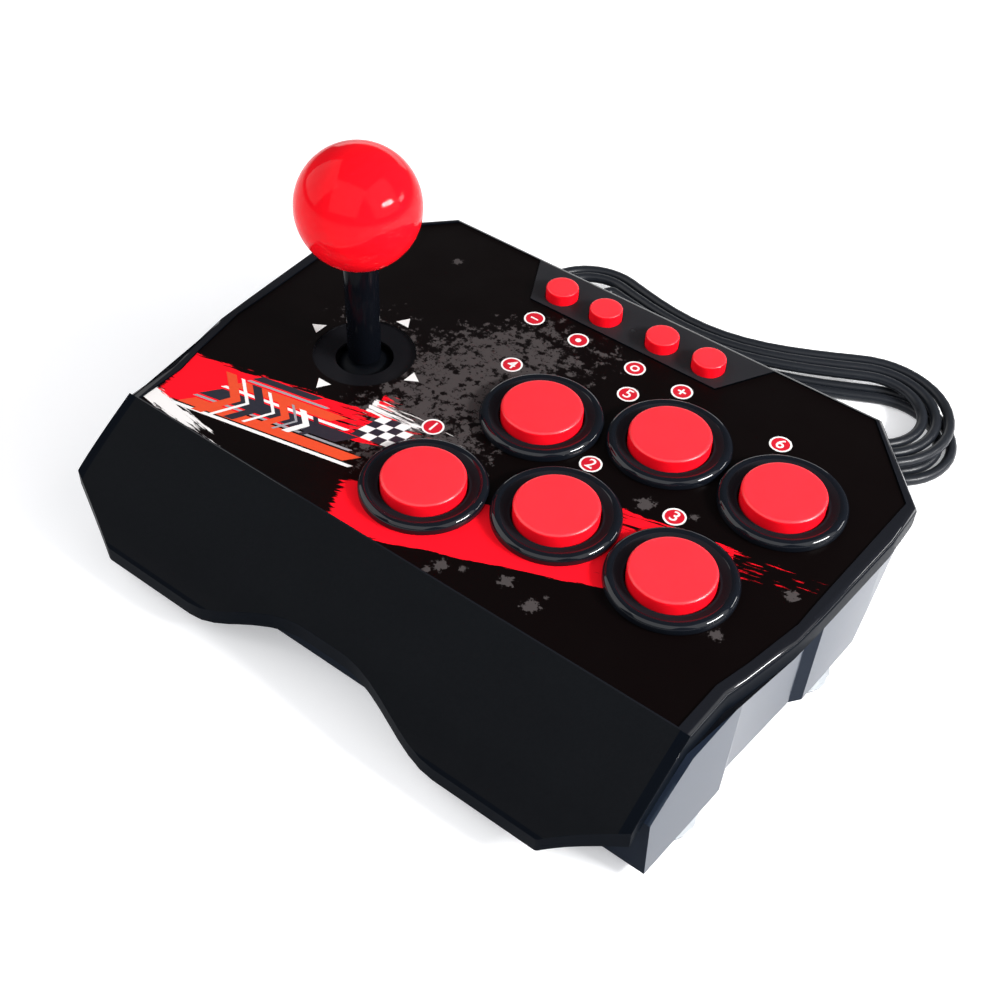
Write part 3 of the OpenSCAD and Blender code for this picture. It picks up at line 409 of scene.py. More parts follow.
boot_low, boot_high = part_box("strain_relief")
boot_inner = boot_low.y / mm
rear_wall = boot_inner + 6.3
boot_tip = boot_high.y / mm
boot_outline = [(1.8, boot_inner)] + arc(4.1, boot_inner + 0.3, 0.3, -90, 0, 3) \
    + [(4.4, boot_inner + 2), (3, boot_inner + 2), (3, rear_wall + 1.8)] \
    + arc(4.1, rear_wall + 2.1, 0.3, -90, 0, 3) + arc(4.1, rear_wall + 2.5, 0.3, 0, 90, 3)
ribs = 5
for i in range(ribs):
    foot = between(rear_wall + 3.4, boot_tip - 1.4, i / ribs)
    girth = between(3.1, 2.3, i / ribs)
    boot_outline += [(girth - 0.35, foot), (girth - 0.35, foot + 0.7)]
    boot_outline += [(girth, foot + 0.95), (girth, foot + 1.7)]
boot_outline += [(2.25, boot_tip - 1.2), (2.15, boot_tip - 0.2), (1.8, boot_tip)]
boot = turned("cord_boot", boot_outline, 32)
boot.rotation_euler = (radians(-90), 0, 0)
boot.location = (48 * mm, 0, 16 * mm)
applied()
rubber = finish("boot_rubber", (0.014, 0.014, 0.016), (0.022, 0.022, 0.025), cloud_size=12,
                grain_size=0.3, grain_depth=0.008, roughness=0.5)
dress(smoothed(boot), rubber, "base", "cord_black", "strain_relief")


def block(name, low, high):
    """A block between its lowest and highest corners, in metres."""
    bpy.ops.object.select_all(action="DESELECT")
    low, high = Vector(low), Vector(high)
    bpy.ops.mesh.primitive_cube_add(size=1, location=(low + high) / 2, scale=high - low)
    applied()
    bpy.context.object.name = name
    return bpy.context.object


def rounded(piece, width, segments=3, angle=30):
    """Rounds every sharp edge of a piece with a Bevel modifier, which is then applied."""
    only_selected(piece)
    bevel = piece.modifiers.new("rounding", "BEVEL")
    bevel.width = width * mm
    bevel.segments = segments
    bevel.limit_method = "ANGLE"
    bevel.angle_limit = radians(angle)
    bpy.ops.object.modifier_apply(modifier=bevel.name)
    return piece


def faces_where(piece, test):
    """In edit mode, selects the faces that pass a test of their centre and normal."""
    bpy.ops.mesh.select_mode(type="FACE")
    bpy.ops.mesh.select_all(action="DESELECT")
    mesh = bmesh.from_edit_mesh(piece.data)
    for face in mesh.faces:
        face.select = bool(test(face.calc_center_median(), face.normal))
    bmesh.update_edit_mesh(piece.data)


grip_low, grip_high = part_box("plug_body")
neck_step = 2.5 * mm
neck_x = grip_high.x - 2 * neck_step
grip = block("plug_grip", grip_low, (neck_x, grip_high.y, grip_high.z))
bpy.ops.object.mode_set(mode="EDIT")
faces_where(grip, lambda c, n: n.x > 0.9)
for width, height in ((0.62, 0.8), (0.56, 0.62)):
    bpy.ops.mesh.extrude_region_move()
    bpy.ops.transform.translate(value=(neck_step, 0, 0))
    bpy.ops.transform.resize(value=(1, width, height))
for z in (-1, 1):
    faces_where(grip, lambda c, n: n.z * z > 0.9 and c.x < neck_x)
    bpy.ops.mesh.inset(thickness=2.2 * mm)
    bpy.ops.transform.translate(value=(0, 0, -0.45 * z * mm))
bpy.ops.object.mode_set(mode="OBJECT")
rounded(grip, 0.7)
dress(smoothed(grip), rubber, "base", "cord_black", "plug_body")

shell_low, shell_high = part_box("plug_shell")
plug_shell = block("plug_shell_sheet", shell_low, shell_high)
bpy.ops.object.mode_set(mode="EDIT")
faces_where(plug_shell, lambda c, n: n.x < -0.9)
bpy.ops.mesh.inset(thickness=0.4 * mm)
bpy.ops.mesh.extrude_region_move()
bpy.ops.transform.translate(value=(11 * mm, 0, 0))
bpy.ops.object.mode_set(mode="OBJECT")
rounded(plug_shell, 0.12, 2)
shell_middle = (shell_low + shell_high) / 2
for z in (-1, 1):
    for y in (-1, 1):
        cut = block("cut", shell_middle + Vector((-4.6, y * 3 - 1.1, z * 2.25 - 1)) * mm,
                    shell_middle + Vector((-2.2, y * 3 + 1.1, z * 2.25 + 1)) * mm)
        only_selected(plug_shell)
        carve = plug_shell.modifiers.new("window", "BOOLEAN")
        carve.operation = "DIFFERENCE"
        carve.object = cut
        bpy.ops.object.modifier_apply(modifier=carve.name)
        bpy.data.objects.remove(cut)
nickel = finish("nickel_plate", (0.6, 0.59, 0.57), (0.66, 0.65, 0.63), cloud_size=6,
                grain_size=0.2, grain_depth=0.0008, roughness=0.24, spread=0.1, metallic=1.0)
dress(smoothed(plug_shell), nickel, "base", "plug_nickel", "plug_shell")

# Lower shell. Injection-moulded black ABS, polished outside: a tray with an offset and a
# step in each side, sloping rear faces and a closed apron under the palm rest.
panel_tilt = radians(2.6)
seam_y, seam_z = -48.8036 * mm, 38.2 * mm
on_panel = Matrix.Translation((0, seam_y, seam_z)) @ Matrix.Rotation(panel_tilt, 4, "X")
to_panel = on_panel.inverted()


def merged_copy(node, name):
    """A new piece that starts as a CAD node's mesh, its loose triangles joined into faces."""
    piece = bpy.data.objects.new(name, nodes[node].data.copy())
    bpy.context.scene.collection.objects.link(piece)
    only_selected(piece)
    bpy.ops.object.mode_set(mode="EDIT")
    bpy.ops.mesh.select_all(action="SELECT")
    bpy.ops.mesh.remove_doubles(threshold=2e-6)
    bpy.ops.mesh.dissolve_limited(angle_limit=radians(0.4))
    bpy.ops.object.mode_set(mode="OBJECT")
    return piece


def edges_where(piece, test):
    """In edit mode, selects the edges between two faces that pass a test of the edge's
    middle in the panel's frame, in millimetres, and the two normals there."""
    bpy.ops.mesh.select_mode(type="EDGE")
    bpy.ops.mesh.select_all(action="DESELECT")
    mesh = bmesh.from_edit_mesh(piece.data)
    turn = to_panel.to_3x3()
    for edge in mesh.edges:
        if len(edge.link_faces) != 2:
            continue
        middle = to_panel @ ((edge.verts[0].co + edge.verts[1].co) / 2) / mm
        a, b = (turn @ face.normal for face in edge.link_faces)
        edge.select = bool(test(middle, a, b))
    bmesh.update_edit_mesh(piece.data)


def round_selected(width, segments=3):
    bpy.ops.mesh.bevel(offset=width * mm, segments=segments, affect="EDGES",
                       clamp_overlap=True)


def sharp(a, b, degrees):
    return a.dot(b) < cos(radians(degrees))


def shaded(piece, angle):
    """Smooth shading that keeps the large faces flat up to their rounded edges."""
    smoothed(piece, angle)
    weigh = piece.modifiers.new("even_shading", "WEIGHTED_NORMAL")
    weigh.keep_sharp = True
    bpy.ops.object.modifier_apply(modifier=weigh.name)
    return piece


tray = merged_copy("lower_shell", "housing_tray")
bpy.ops.object.mode_set(mode="EDIT")
edges_where(tray, lambda p, a, b: sharp(a, b, 35) and abs(a.z) < 0.4 and abs(b.z) < 0.4
            and (abs(p.x) > 68 or p.y < -14))
round_selected(0.6)
bpy.ops.object.mode_set(mode="OBJECT")
tray_gloss = finish("polished_abs", (0.010, 0.015, 0.026), (0.014, 0.020, 0.034),
                    cloud_size=60, grain_size=3.0, grain_depth=0.003, roughness=0.12,
                    spread=0.05, specular_ior_level=0.7, ior=1.28,
                    specular_tint=(0.6, 0.8, 1, 1))
# A darker, duller copy of the tray's black for the faces that face the front: painted shade.
tray_painted_shade = finish("abs_painted_shade", (0.0076, 0.0105, 0.0165), (0.0105, 0.014, 0.0215),
                    cloud_size=60, grain_size=3.0, grain_depth=0.003, roughness=0.3,
                    spread=0.05, ior=1.05)
dress(shaded(tray, 30), tray_gloss, "base", "housing_gloss", "lower_shell")
tray.data.materials.append(tray_painted_shade)
# The faces that face the front, under the palm rest and in the steps of the sides, take the
# painted shade.
painted_shade_face = 1
for face in tray.data.polygons:
    if face.normal.y < -0.3 and abs(face.normal.z) < 0.5:
        face.material_index = painted_shade_face

# Upper shell. One moulding: a flat panel with a rounded, polished rim, a fine-grained palm
# rest, a satin strip for the small buttons and a dished seat round the lever. The last loop
# gives each of its faces the finish of the place it is on. The rim's skirt, the palm rest's
# lip, its steep front and the band at its ends get a darker, duller copy of the black: painted
# shade.
lid = merged_copy("upper_shell", "housing_lid")
stick, dish_r = Vector((-54.8, 55.8)), 15.2
strip_v, strip_half = 104, 45
bpy.ops.object.mode_set(mode="EDIT")
edges_where(lid, lambda p, a, b: p.y < -0.5 and sharp(a, b, 40)
            and max(a.z, b.z) > 0.3 and min(abs(a.z), abs(b.z)) < 0.15 and p.z > -25)
round_selected(1.3, 4)
edges_where(lid, lambda p, a, b: (p.xy - stick).length < 17 and sharp(a, b, 4))
bpy.ops.mesh.mark_sharp()
edges_where(lid, lambda p, a, b: sharp(a, b, 15) and 55 < abs(p.x) < 85 and p.y < -24
            and max(abs(a.z), abs(b.z)) < 0.35 and max(a.y, b.y) < -0.3)
round_selected(3.5, 5)
# The palm rest's top is cut 2.8 mm in from each end, where the painted shade of its end band
# begins.
palm_end = max((face for face in bmesh.from_edit_mesh(lid.data).faces
                if face.normal.x > 0.7 and face.calc_center_median().y < seam_y - 5 * mm),
               key=lambda face: face.calc_area())
end_place, end_normal = palm_end.calc_center_median().copy(), palm_end.normal.copy()
end_normal.z = 0
end_normal.normalize()
end_place -= end_normal * 2.8 * mm
for x in (-1, 1):
    faces_where(lid, lambda c, n: n.z > 0.4 and c.y < seam_y - 0.05 * mm)
    bpy.ops.mesh.bisect(plane_co=(end_place.x * x, end_place.y, end_place.z),
                        plane_no=(end_normal.x * x, end_normal.y, 0))
bpy.ops.object.mode_set(mode="OBJECT")
lid_gloss = finish("polished_rim", (0.006, 0.0066, 0.009), (0.008, 0.0088, 0.0115),
                   cloud_size=40, grain_size=2.0, grain_depth=0.001, roughness=0.06,
                   spread=0.03, specular_ior_level=0.3)
palm_grain = finish("palm_rest_grain", (0.0028, 0.0034, 0.0045), (0.0042, 0.005, 0.0064),
                    cloud_size=16, grain_size=0.35, grain_depth=0.02, roughness=0.6,
                    spread=0.1, dust_amount=0.006, specular_ior_level=0.03)
strip_satin = finish("button_strip", (0.012, 0.012, 0.014), (0.017, 0.017, 0.02),
                     cloud_size=10, grain_size=0.3, grain_depth=0.008, roughness=0.4,
                     specular_ior_level=0.15)
dish_satin = finish("lever_dish", (0.0052, 0.0052, 0.0066), (0.0075, 0.0075, 0.0092),
                    cloud_size=8, grain_size=0.3, grain_depth=0.01, roughness=0.45, ior=1.12)
# The skirt finish is a darker, duller copy of the rim's black: painted shade.
lip_painted_shade = finish("rim_skirt_painted_shade", (0.002, 0.003, 0.005), (0.003, 0.0042, 0.0066),
                   cloud_size=12, grain_size=0.3, grain_depth=0.004, roughness=0.3, ior=1.05)
dress(lid, lid_gloss, "base", "housing_gloss", "upper_shell")
for material in (palm_grain, strip_satin, dish_satin, lip_painted_shade):
    lid.data.materials.append(material)
palm_face, strip_face, dish_face, shaded_lip_face = 1, 2, 3, 4
turn = to_panel.to_3x3()
# Faces that turn down, and the palm rest's steep front and end bands, take the painted shade.
for face in lid.data.polygons:
    middle = to_panel @ face.center / mm
    normal = turn @ face.normal
    past_end = (Vector((abs(face.center.x), face.center.y, 0)) - end_place).dot(end_normal)
    if normal.z > 0.44 and middle.y < -0.05 and abs(normal.x) < 0.05:
        face.material_index = palm_face if past_end < 0 and normal.z > 0.47 else shaded_lip_face
    elif normal.z > 0.98 and middle.y > strip_v and abs(middle.x) < strip_half \
            and middle.z > 0.2:
        face.material_index = strip_face
    elif (middle.xy - stick).length < dish_r and middle.z < -0.2:
        face.material_index = dish_face
    elif normal.z < 0.5 and middle.z < 0.5:
        face.material_index = shaded_lip_face
shaded(lid, 32)

# Printed film. A polycarbonate sheet glued into the panel's recess, printed from behind:
# black with grey spatter, broad red brush strokes and their dry streaks.
stroke, given, result = new_group("Brush stroke", {
    "Place": ("NodeSocketVector", (0, 0, 0)),
    "Start": ("NodeSocketVector", (0, 0, 0)),
    "Turn": ("NodeSocketFloat", 0),
    "Length": ("NodeSocketFloat", 50),
    "First Width": ("NodeSocketFloat", 5),
    "Last Width": ("NodeSocketFloat", 5),
    "Ragged": ("NodeSocketFloat", 1),
    "Dryness": ("NodeSocketFloat", 1),
    "Dry From": ("NodeSocketFloat", 0.45)}, {"Mask": "NodeSocketFloat"})
along = put(stroke, "ShaderNodeVectorRotate", rotation_type="Z_AXIS",
            Vector=vector_of(stroke, "SUBTRACT", given["Place"], given["Start"]),
            Angle=sum_of(stroke, "MULTIPLY", given["Turn"], -1)).outputs[0]
split = put(stroke, "ShaderNodeSeparateXYZ", Vector=along)
share = sum_of(stroke, "DIVIDE", split.outputs["X"], given["Length"])
bristles = put(stroke, "ShaderNodeTexNoise", Scale=1.0, Detail=5, Roughness=0.62,
               Vector=vector_of(stroke, "MULTIPLY", along, (0.09, 0.9, 1))).outputs["Fac"]
grown = sum_of(stroke, "SUBTRACT", given["Last Width"], given["First Width"])
half = sum_of(stroke, "MULTIPLY_ADD", grown, share, given["First Width"])
rough = sum_of(stroke, "SUBTRACT", bristles, 0.5)
half = sum_of(stroke, "MULTIPLY_ADD", rough, given["Ragged"], half)
inside = sum_of(stroke, "SUBTRACT", half, sum_of(stroke, "ABSOLUTE", split.outputs["Y"]))
inside = sum_of(stroke, "MULTIPLY", inside, 5, clamp=True)
drying = sum_of(stroke, "MULTIPLY", sum_of(stroke, "SUBTRACT", share, given["Dry From"]),
                given["Dryness"])
starting = sum_of(stroke, "MULTIPLY", sum_of(stroke, "SUBTRACT", 0.02, share), 8)
fade = sum_of(stroke, "MAXIMUM", drying, starting)
wet = sum_of(stroke, "SUBTRACT", sum_of(stroke, "ADD", bristles, 0.12), fade)
wet = sum_of(stroke, "MULTIPLY", sum_of(stroke, "SUBTRACT", wet, 0.42), 14, clamp=True)
ends = sum_of(stroke, "MULTIPLY", sum_of(stroke, "GREATER_THAN", split.outputs["X"], -3),
              sum_of(stroke, "LESS_THAN", share, 1.25))
feed(stroke, result, [sum_of(stroke, "MULTIPLY", sum_of(stroke, "MULTIPLY", inside, wet),
                             ends)])

film_print = bpy.data.materials.new("printed_film")
film_print.use_nodes = True
film = film_print.node_tree
film_shader = film.nodes["Principled BSDF"]
film_shader.inputs["Specular IOR Level"].default_value = 0.09
panel_place = put(film, "ShaderNodeMapping", Scale=(1 / mm, 1 / mm, 1 / mm),
                  Location=(0, -seam_y / mm, 0),
                  Vector=put(film, "ShaderNodeTexCoord").outputs["Object"])
flat = vector_of(film, "MULTIPLY", panel_place.outputs[0], (1, 1, 0))


def film_noise(size, detail, sharpness, shift=0.0):
    place = vector_of(film, "ADD", flat, (shift, shift, 0)) if shift else flat
    return put(film, "ShaderNodeTexNoise", Scale=1 / size, Detail=detail, Roughness=sharpness,
               Vector=place).outputs["Fac"]


def spatter(u, v, radius):
    """A blot with ragged arms round one place on the panel."""
    away = vector_of(film, "DISTANCE", flat, (u, v, 0))
    arms = film_noise(radius * 0.55, 3, 0.75, u)
    reach = sum_of(film, "MULTIPLY_ADD", arms, 2.6 * radius, -0.55 * radius)
    return sum_of(film, "MULTIPLY", sum_of(film, "SUBTRACT", reach, away), 2.5, clamp=True)


film_black = (0.0022, 0.0011, 0.0011, 1)
spatter_grey = (0.052, 0.045, 0.045, 1)
red_ink, white_ink = (0.9, 0.006, 0.016, 1), (0.72, 0.7, 0.69, 1)
density = -1.0
for u, v, slope, width, height, most in (
        (-22, 68, -18, 22, 34, 0.27), (-20, 38, 10, 24, 22, 0.22),
        (-55, 62, 0, 30, 24, 0.1), (0, 100, -10, 26, 12, 0.04)):
    patch = put(film, "ShaderNodeMapping", vector_type="TEXTURE", Vector=flat,
                Location=(u, v, 0), Rotation=(0, 0, radians(slope)), Scale=(width, height, 1))
    reach = vector_of(film, "LENGTH", patch.outputs[0])
    density = sum_of(film, "MAXIMUM", density, sum_of(film, "MULTIPLY_ADD", reach, -0.3, most))
flecks = sum_of(film, "SUBTRACT", film_noise(3.6, 6, 0.72, 40), 0.5)
grunge = sum_of(film, "MULTIPLY", sum_of(film, "ADD", flecks, density), 30, clamp=True)
printed = mixed(film, grunge, film_black, spatter_grey)
specks = sum_of(film, "SUBTRACT", film_noise(3.1, 5, 0.75, 90), 0.527)
printed = mixed(film, sum_of(film, "MULTIPLY", specks, 30, clamp=True), printed, film_black)
for u, v, radius in ((15.5, 5, 2.5), (13.5, 1.8, 1.5), (20.5, 7.5, 1.4), (31.5, 11, 2.6),
                     (41, 8.5, 3.0), (42.5, 13, 0.9), (43.5, 56, 3.2), (81.5, 29.5, 2.2),
                     (-62, 108, 2.0), (56, 60, 1.6), (89.6, 52, 2.5), (61, 47, 2.4)):
    printed = mixed(film, spatter(u, v, radius), printed, spatter_grey)
for colour, start, turn, length, first, last, ragged, dryness, dry_from in (
        (red_ink, (-90, 14, 0), 0.30, 96, 10, 3.5, 8, 0.75, 0.4),
        (white_ink, (-91, 4.5, 0), -0.1, 34, 2.8, 1.6, 5, 0.6, 0.4),
        (white_ink, (-38, 39.5, 0), 0.12, 34, 3, 1, 7, 0.3, -0.3),
        (red_ink, (-20, 4.2, 0), 0.418, 83, 9.6, 11, 4, 0.5, 0.92),
        (red_ink, (33, 41.5, 0), 0.27, 61, 8, 2, 9, 0.24, -0.3),
        (red_ink, (-37, 42.5, 0), 0.24, 26, 2.6, 1.4, 7, 0.5, -0.3)):
    brush = put(film, "ShaderNodeGroup", node_tree=stroke, Place=flat, Start=start, Turn=turn,
                Length=length, First_Width=first, Last_Width=last, Ragged=ragged,
                Dryness=dryness, Dry_From=dry_from)
    printed = mixed(film, brush.outputs["Mask"], printed, colour)
film_bump = put(film, "ShaderNodeBump", Strength=1.0, Distance=0.000003,
                Height=film_noise(0.5, 2, 0.5))
for label, value in (
        ("Base Color", printed), ("Normal", film_bump.outputs["Normal"]),
        ("Roughness", sum_of(film, "MULTIPLY_ADD", film_noise(12, 3, 0.5), 0.12, 0.26))):
    film.links.new(value, film_shader.inputs[label])
nodes["graphic_overlay"].data.materials.clear()
nodes["graphic_overlay"].data.materials.append(film_print)

# Printed marks. Flat ink on top of the film: pointers round the lever, numbered discs
# beside the buttons, and a fan of bars and checks on the left.
ink_level = 0.03


def mark(name, points, level=0.0):
    """A flat printed shape from its corners, anticlockwise, in the panel's millimetres."""
    bpy.ops.object.select_all(action="DESELECT")
    bpy.ops.mesh.primitive_circle_add(vertices=len(points), radius=mm, fill_type="NGON")
    piece = bpy.context.object
    piece.name = name
    for vertex, (u, v) in zip(piece.data.vertices, points):
        vertex.co = on_panel @ (Vector((u, v, ink_level + level)) * mm)
    return piece


def band_mark(name, u, v, inner, outer, level):
    """A flat printed ring, or a disc when its inner radius is 0."""
    sides = 48
    angles = [2 * pi * i / sides for i in range(sides)]
    piece = mark(name, [(u + outer * cos(a), v + outer * sin(a)) for a in angles])
    if inner:
        only_selected(piece)
        bpy.ops.object.mode_set(mode="EDIT")
        bpy.ops.mesh.select_all(action="SELECT")
        bpy.ops.mesh.inset(thickness=(outer - inner) * mm)
        bpy.ops.mesh.delete(type="ONLY_FACE")
        bpy.ops.object.mode_set(mode="OBJECT")
    piece.data.transform(Matrix.Translation((0, 0, level * mm)))
    return piece


def on_panel_at(piece, u, v, w=0.0):
    """Moves a new piece's mesh from the origin to its place on the panel."""
    piece.data.transform(on_panel @ Matrix.Translation(Vector((u, v, w)) * mm))
    return piece


def joined(name, pieces):
    only_selected(*pieces)
    bpy.ops.object.join()
    bpy.context.object.name = name
    applied()
    return bpy.context.object


white_marks, red_marks, orange_marks, dark_marks, grey_marks = [], [], [], [], []
pointer_reach, pointer_half, pointer_base = 20.6, 2.3, 16.9
for quarter in range(4):
    out = Vector((1, 0))
    out.rotate(Matrix.Rotation(quarter * pi / 2, 2))
    side = Vector((-out.y, out.x))
    tip, foot = stick + out * pointer_reach, stick + out * pointer_base
    white_marks.append(mark("pointer", [tip, foot + side * pointer_half,
                                        foot - side * pointer_half]))

badges = {"1": (-18.9, 43.6), "2": (23.4, 59.3), "3": (51.9, 56.9), "4": (-18.4, 78.9),
          "5": (15.0, 89.7), "6": (59.4, 99.3)}
menu_badges = {"minus": (-26.3, 100.5), "dot": (-10.1, 100.5), "ring": (10.1, 100.5),
               "plus": (26.3, 100.5)}
badge_r, badge_edge, figure_size, figure_bold = 3.2, 2.75, 5.2, 0.05
low_ink, high_ink = 0.01, 0.02
for place in list(badges.values()) + list(menu_badges.values()):
    white_marks.append(band_mark("badge_edge", *place, badge_edge - 0.1, badge_r, high_ink))
    red_marks.append(band_mark("badge_face", *place, 0, badge_edge, low_ink))
for number, (u, v) in badges.items():
    bpy.ops.object.select_all(action="DESELECT")
    bpy.ops.object.text_add()
    figure = bpy.context.object
    figure.data.body = number
    figure.data.align_x, figure.data.align_y = "CENTER", "CENTER"
    figure.data.size = figure_size * mm
    figure.data.offset = figure_bold * mm
    bpy.ops.object.convert(target="MESH")
    white_marks.append(on_panel_at(figure, u, v, ink_level + high_ink))


def bar(u, v, length, width, slant=0.0):
    """Corners of a slanting bar whose lower left corner is at (u, v)."""
    return [(u, v), (u + length, v), (u + length + slant, v + width), (u + slant, v + width)]


for sign, x, y, length, width in (
        ("minus", -1.3, -0.3, 2.6, 0.6), ("plus", -1.3, -0.3, 2.6, 0.6),
        ("plus", -0.3, -1.3, 0.6, 1.0), ("plus", -0.3, 0.3, 0.6, 1.0)):
    (u, v) = menu_badges[sign]
    white_marks.append(mark("sign", bar(u + x, v + y, length, width), high_ink))
for sign, inner, outer in (("dot", 0, 0.9), ("ring", 0.8, 1.4)):
    white_marks.append(band_mark("sign", *menu_badges[sign], inner, outer, high_ink))

fan_turn, fan_foot, fan_axis = radians(12), Vector((-82, 4.5)), 9.6


def on_fan(points):
    return [fan_foot + Vector((x * cos(fan_turn) - y * sin(fan_turn),
                               x * sin(fan_turn) + y * cos(fan_turn))) for x, y in points]


def chevron(x, y, half, thick, lean):
    return [(x - lean, y - half), (x - lean + thick, y - half), (x + thick, y),
            (x - lean + thick, y + half), (x - lean, y + half), (x, y)]


for x, y, length, width, slant, marks in (
        (0, 0.2, 57, 1.1, 1.2, white_marks), (1.5, 1.8, 53, 3.4, 4, orange_marks),
        (4, 5.8, 50, 0.8, 1, grey_marks), (5, 7.2, 44, 4.6, 5, dark_marks),
        (9, 12.4, 40, 1.0, 1.2, white_marks), (10.5, 14.0, 33, 3.2, 4, orange_marks),
        (14, 17.8, 26, 0.8, 1, grey_marks), (15, 19.2, 20, 2.2, 2.4, dark_marks)):
    marks.append(mark("fan_bar", on_fan(bar(x, y, length, width, slant))))
for x, half, thick, marks in (
        (14, 9.0, 3.4, orange_marks), (19, 8.4, 1.2, white_marks),
        (22.5, 7.6, 3.0, dark_marks), (27.5, 6.9, 1.1, white_marks),
        (30.5, 6.2, 2.8, orange_marks), (35, 5.5, 0.9, grey_marks),
        (37.5, 4.9, 2.2, white_marks), (41.5, 4.1, 1.6, dark_marks)):
    marks.append(mark("fan_arrow", on_fan(chevron(x, fan_axis, half, thick, half * 0.8)),
                      high_ink))
check_w, check_h, check_slant = 3.1, 2.6, 1.1
for row in range(4):
    for column in range(6 - row):
        marks = white_marks if (row + column) % 2 else dark_marks
        marks.append(mark("check", on_fan(bar(51 + column * check_w + row * check_slant,
                                              12 + row * check_h, check_w, check_h,
                                              check_slant)), low_ink))
for name, marks, ink, colour, patch in (
        ("white_marks", white_marks, "white_ink", (0.78, 0.77, 0.76), (0.7, 0.69, 0.68)),
        ("badge_faces", red_marks, "badge_ink", (0.55, 0.006, 0.02), (0.47, 0.004, 0.016)),
        ("orange_marks", orange_marks, "orange_ink", (0.7, 0.07, 0.02), (0.6, 0.05, 0.015)),
        ("dark_marks", dark_marks, "dark_ink", (0.012, 0.012, 0.02), (0.02, 0.02, 0.03)),
        ("grey_marks", grey_marks, "grey_ink", (0.3, 0.3, 0.32), (0.24, 0.24, 0.26))):
    dress(joined(name, marks),
          finish(ink, colour, patch, cloud_size=1.5, grain_size=0.15, grain_depth=0.0006,
                 roughness=0.34, spread=0.06), "base", "printed_film")


# Main buttons. A polished black collar pushed through the panel and held by a nut, and a
# red cap that slides in it; each pair is moulded in ABS.
def copy_of(piece, name):
    """A copy with its own mesh."""
    twin = bpy.data.objects.new(name, piece.data.copy())
    bpy.context.scene.collection.objects.link(twin)
    return twin


def panel_middle(node):
    """Where a CAD node's middle stands on the panel, in the panel's millimetres."""
    low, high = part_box(node)
    return to_panel @ ((low + high) / 2) / mm


panel_up = on_panel.to_3x3() @ Vector((0, 0, 1))
collar_outline = [(14, -17), (14, 0), (17.3, 0)] + arc(17.15, 0.3, 0.3, -60, 0, 3) \
    + arc(15.75, 1.1, 1.7, 8, 92, 9) + [(14.9, 2.5), (13.9, 2.0), (12.9, 1.5)] \
    + arc(12.35, 1.0, 0.45, 60, 180, 5) + [(11.85, 0.6), (11.85, -15), (4.3, -15), (4.3, -17),
                                            (14, -17)]
collar = smoothed(turned("collar_pattern", collar_outline, 96), 40)
cap_outline = [(4, -17.1), (4, 3.3), (9.8, 3.3), (9.8, -6), (11.5, -6)] \
    + arc(10.5, 3.98, 1.0, 0, 80, 8) + [(10.2, 4.975), (9, 4.99), (4, 5), (0, 5)]
cap = smoothed(joined("cap_pattern", [
    turned("cap_body", cap_outline, 96),
    turned("cap_stem", [(4, -17.1), (5, -17.1), (4, -18), (0, -18)], 48)]), 40)
collar_gloss = finish("polished_collar", (0.003, 0.004, 0.0065), (0.005, 0.0065, 0.01),
                      cloud_size=14, grain_size=2.5, grain_depth=0.0015, roughness=0.06,
                      spread=0.03, specular_ior_level=0.35)
collar_satin = finish("collar_slope", (0.009, 0.009, 0.0118), (0.0125, 0.0125, 0.0155),
                      cloud_size=14, grain_size=0.5, grain_depth=0.002, roughness=0.45,
                      spread=0.05, ior=1.07)
cap_red = finish("cap_red", (0.93, 0.025, 0.038), (0.88, 0.018, 0.03), cloud_size=9,
                 grain_size=0.3, grain_depth=0.006, roughness=0.36, spread=0.08,
                 subsurface_weight=0.25, subsurface_scale=0.003)
# The cap's side gets a deeper, duller copy of its red: painted shade.
cap_painted_shade = finish("cap_painted_shade", (0.9, 0.006, 0.016), (0.84, 0.004, 0.012), cloud_size=9,
                  grain_size=0.3, grain_depth=0.003, roughness=0.3, spread=0.05, ior=1.12,
                  subsurface_weight=0.15, subsurface_scale=0.003)


shaded_side_face, slope_face, slope_r = 1, 1, 15


def painted_shade_side(piece):
    """Gives the faces that stand up from the panel a deeper, duller copy of the red: painted
    shade on a cap's side.
    """
    piece.data.materials.append(cap_painted_shade)
    for face in piece.data.polygons:
        if face.normal.dot(panel_up) < 0.55:
            face.material_index = shaded_side_face


for number in range(1, 7):
    at = panel_middle(f"bezel_{number}")
    ring = on_panel_at(copy_of(collar, f"button_collar_{number}"), at.x, at.y)
    dress(ring, collar_gloss, "base", "black_gloss", f"bezel_{number}")
    ring.data.materials.append(collar_satin)
    for face in ring.data.polygons:
        middle = to_panel @ face.center / mm - Vector((at.x, at.y, 0))
        if middle.xy.length < slope_r and middle.z > 0.7:
            face.material_index = slope_face
    top = on_panel_at(copy_of(cap, f"button_cap_{number}"), at.x, at.y)
    dress(top, cap_red, f"button_{number}", "button_red", f"cap_{number}")
    painted_shade_side(top)
bpy.data.objects.remove(collar)
bpy.data.objects.remove(cap)

# Return springs. Bright drawn wire, one under each cap. The lever has a tapered one that
# brings it back upright, made as a lower and an upper half.
spring_low, spring_high, spring_r, spring_turns, spring_wire = -14.95, 3.25, 6.6, 6, 0.35


def coil_line(low_radius, high_radius, low, high, turns):
    steps, line = 20, []
    for i in range(int(turns * steps) + 1):
        f = i / (turns * steps)
        rise = eased(f) * 0.35 + f * 0.65
        radius = between(low_radius, high_radius, f)
        angle = 2 * pi * turns * f
        line.append(Vector((radius * cos(angle), radius * sin(angle),
                            between(low, high, rise))) * mm)
    return line


spring_steel = finish("spring_wire", (0.5, 0.5, 0.51), (0.58, 0.58, 0.59), cloud_size=3,
                      grain_size=0.1, grain_depth=0.0006, roughness=0.28, metallic=1.0)


def coil_piece(name, line):
    only_selected(wire(name, line, spring_wire * mm, 2))
    bpy.ops.object.convert(target="MESH")
    return smoothed(bpy.context.object, 60)


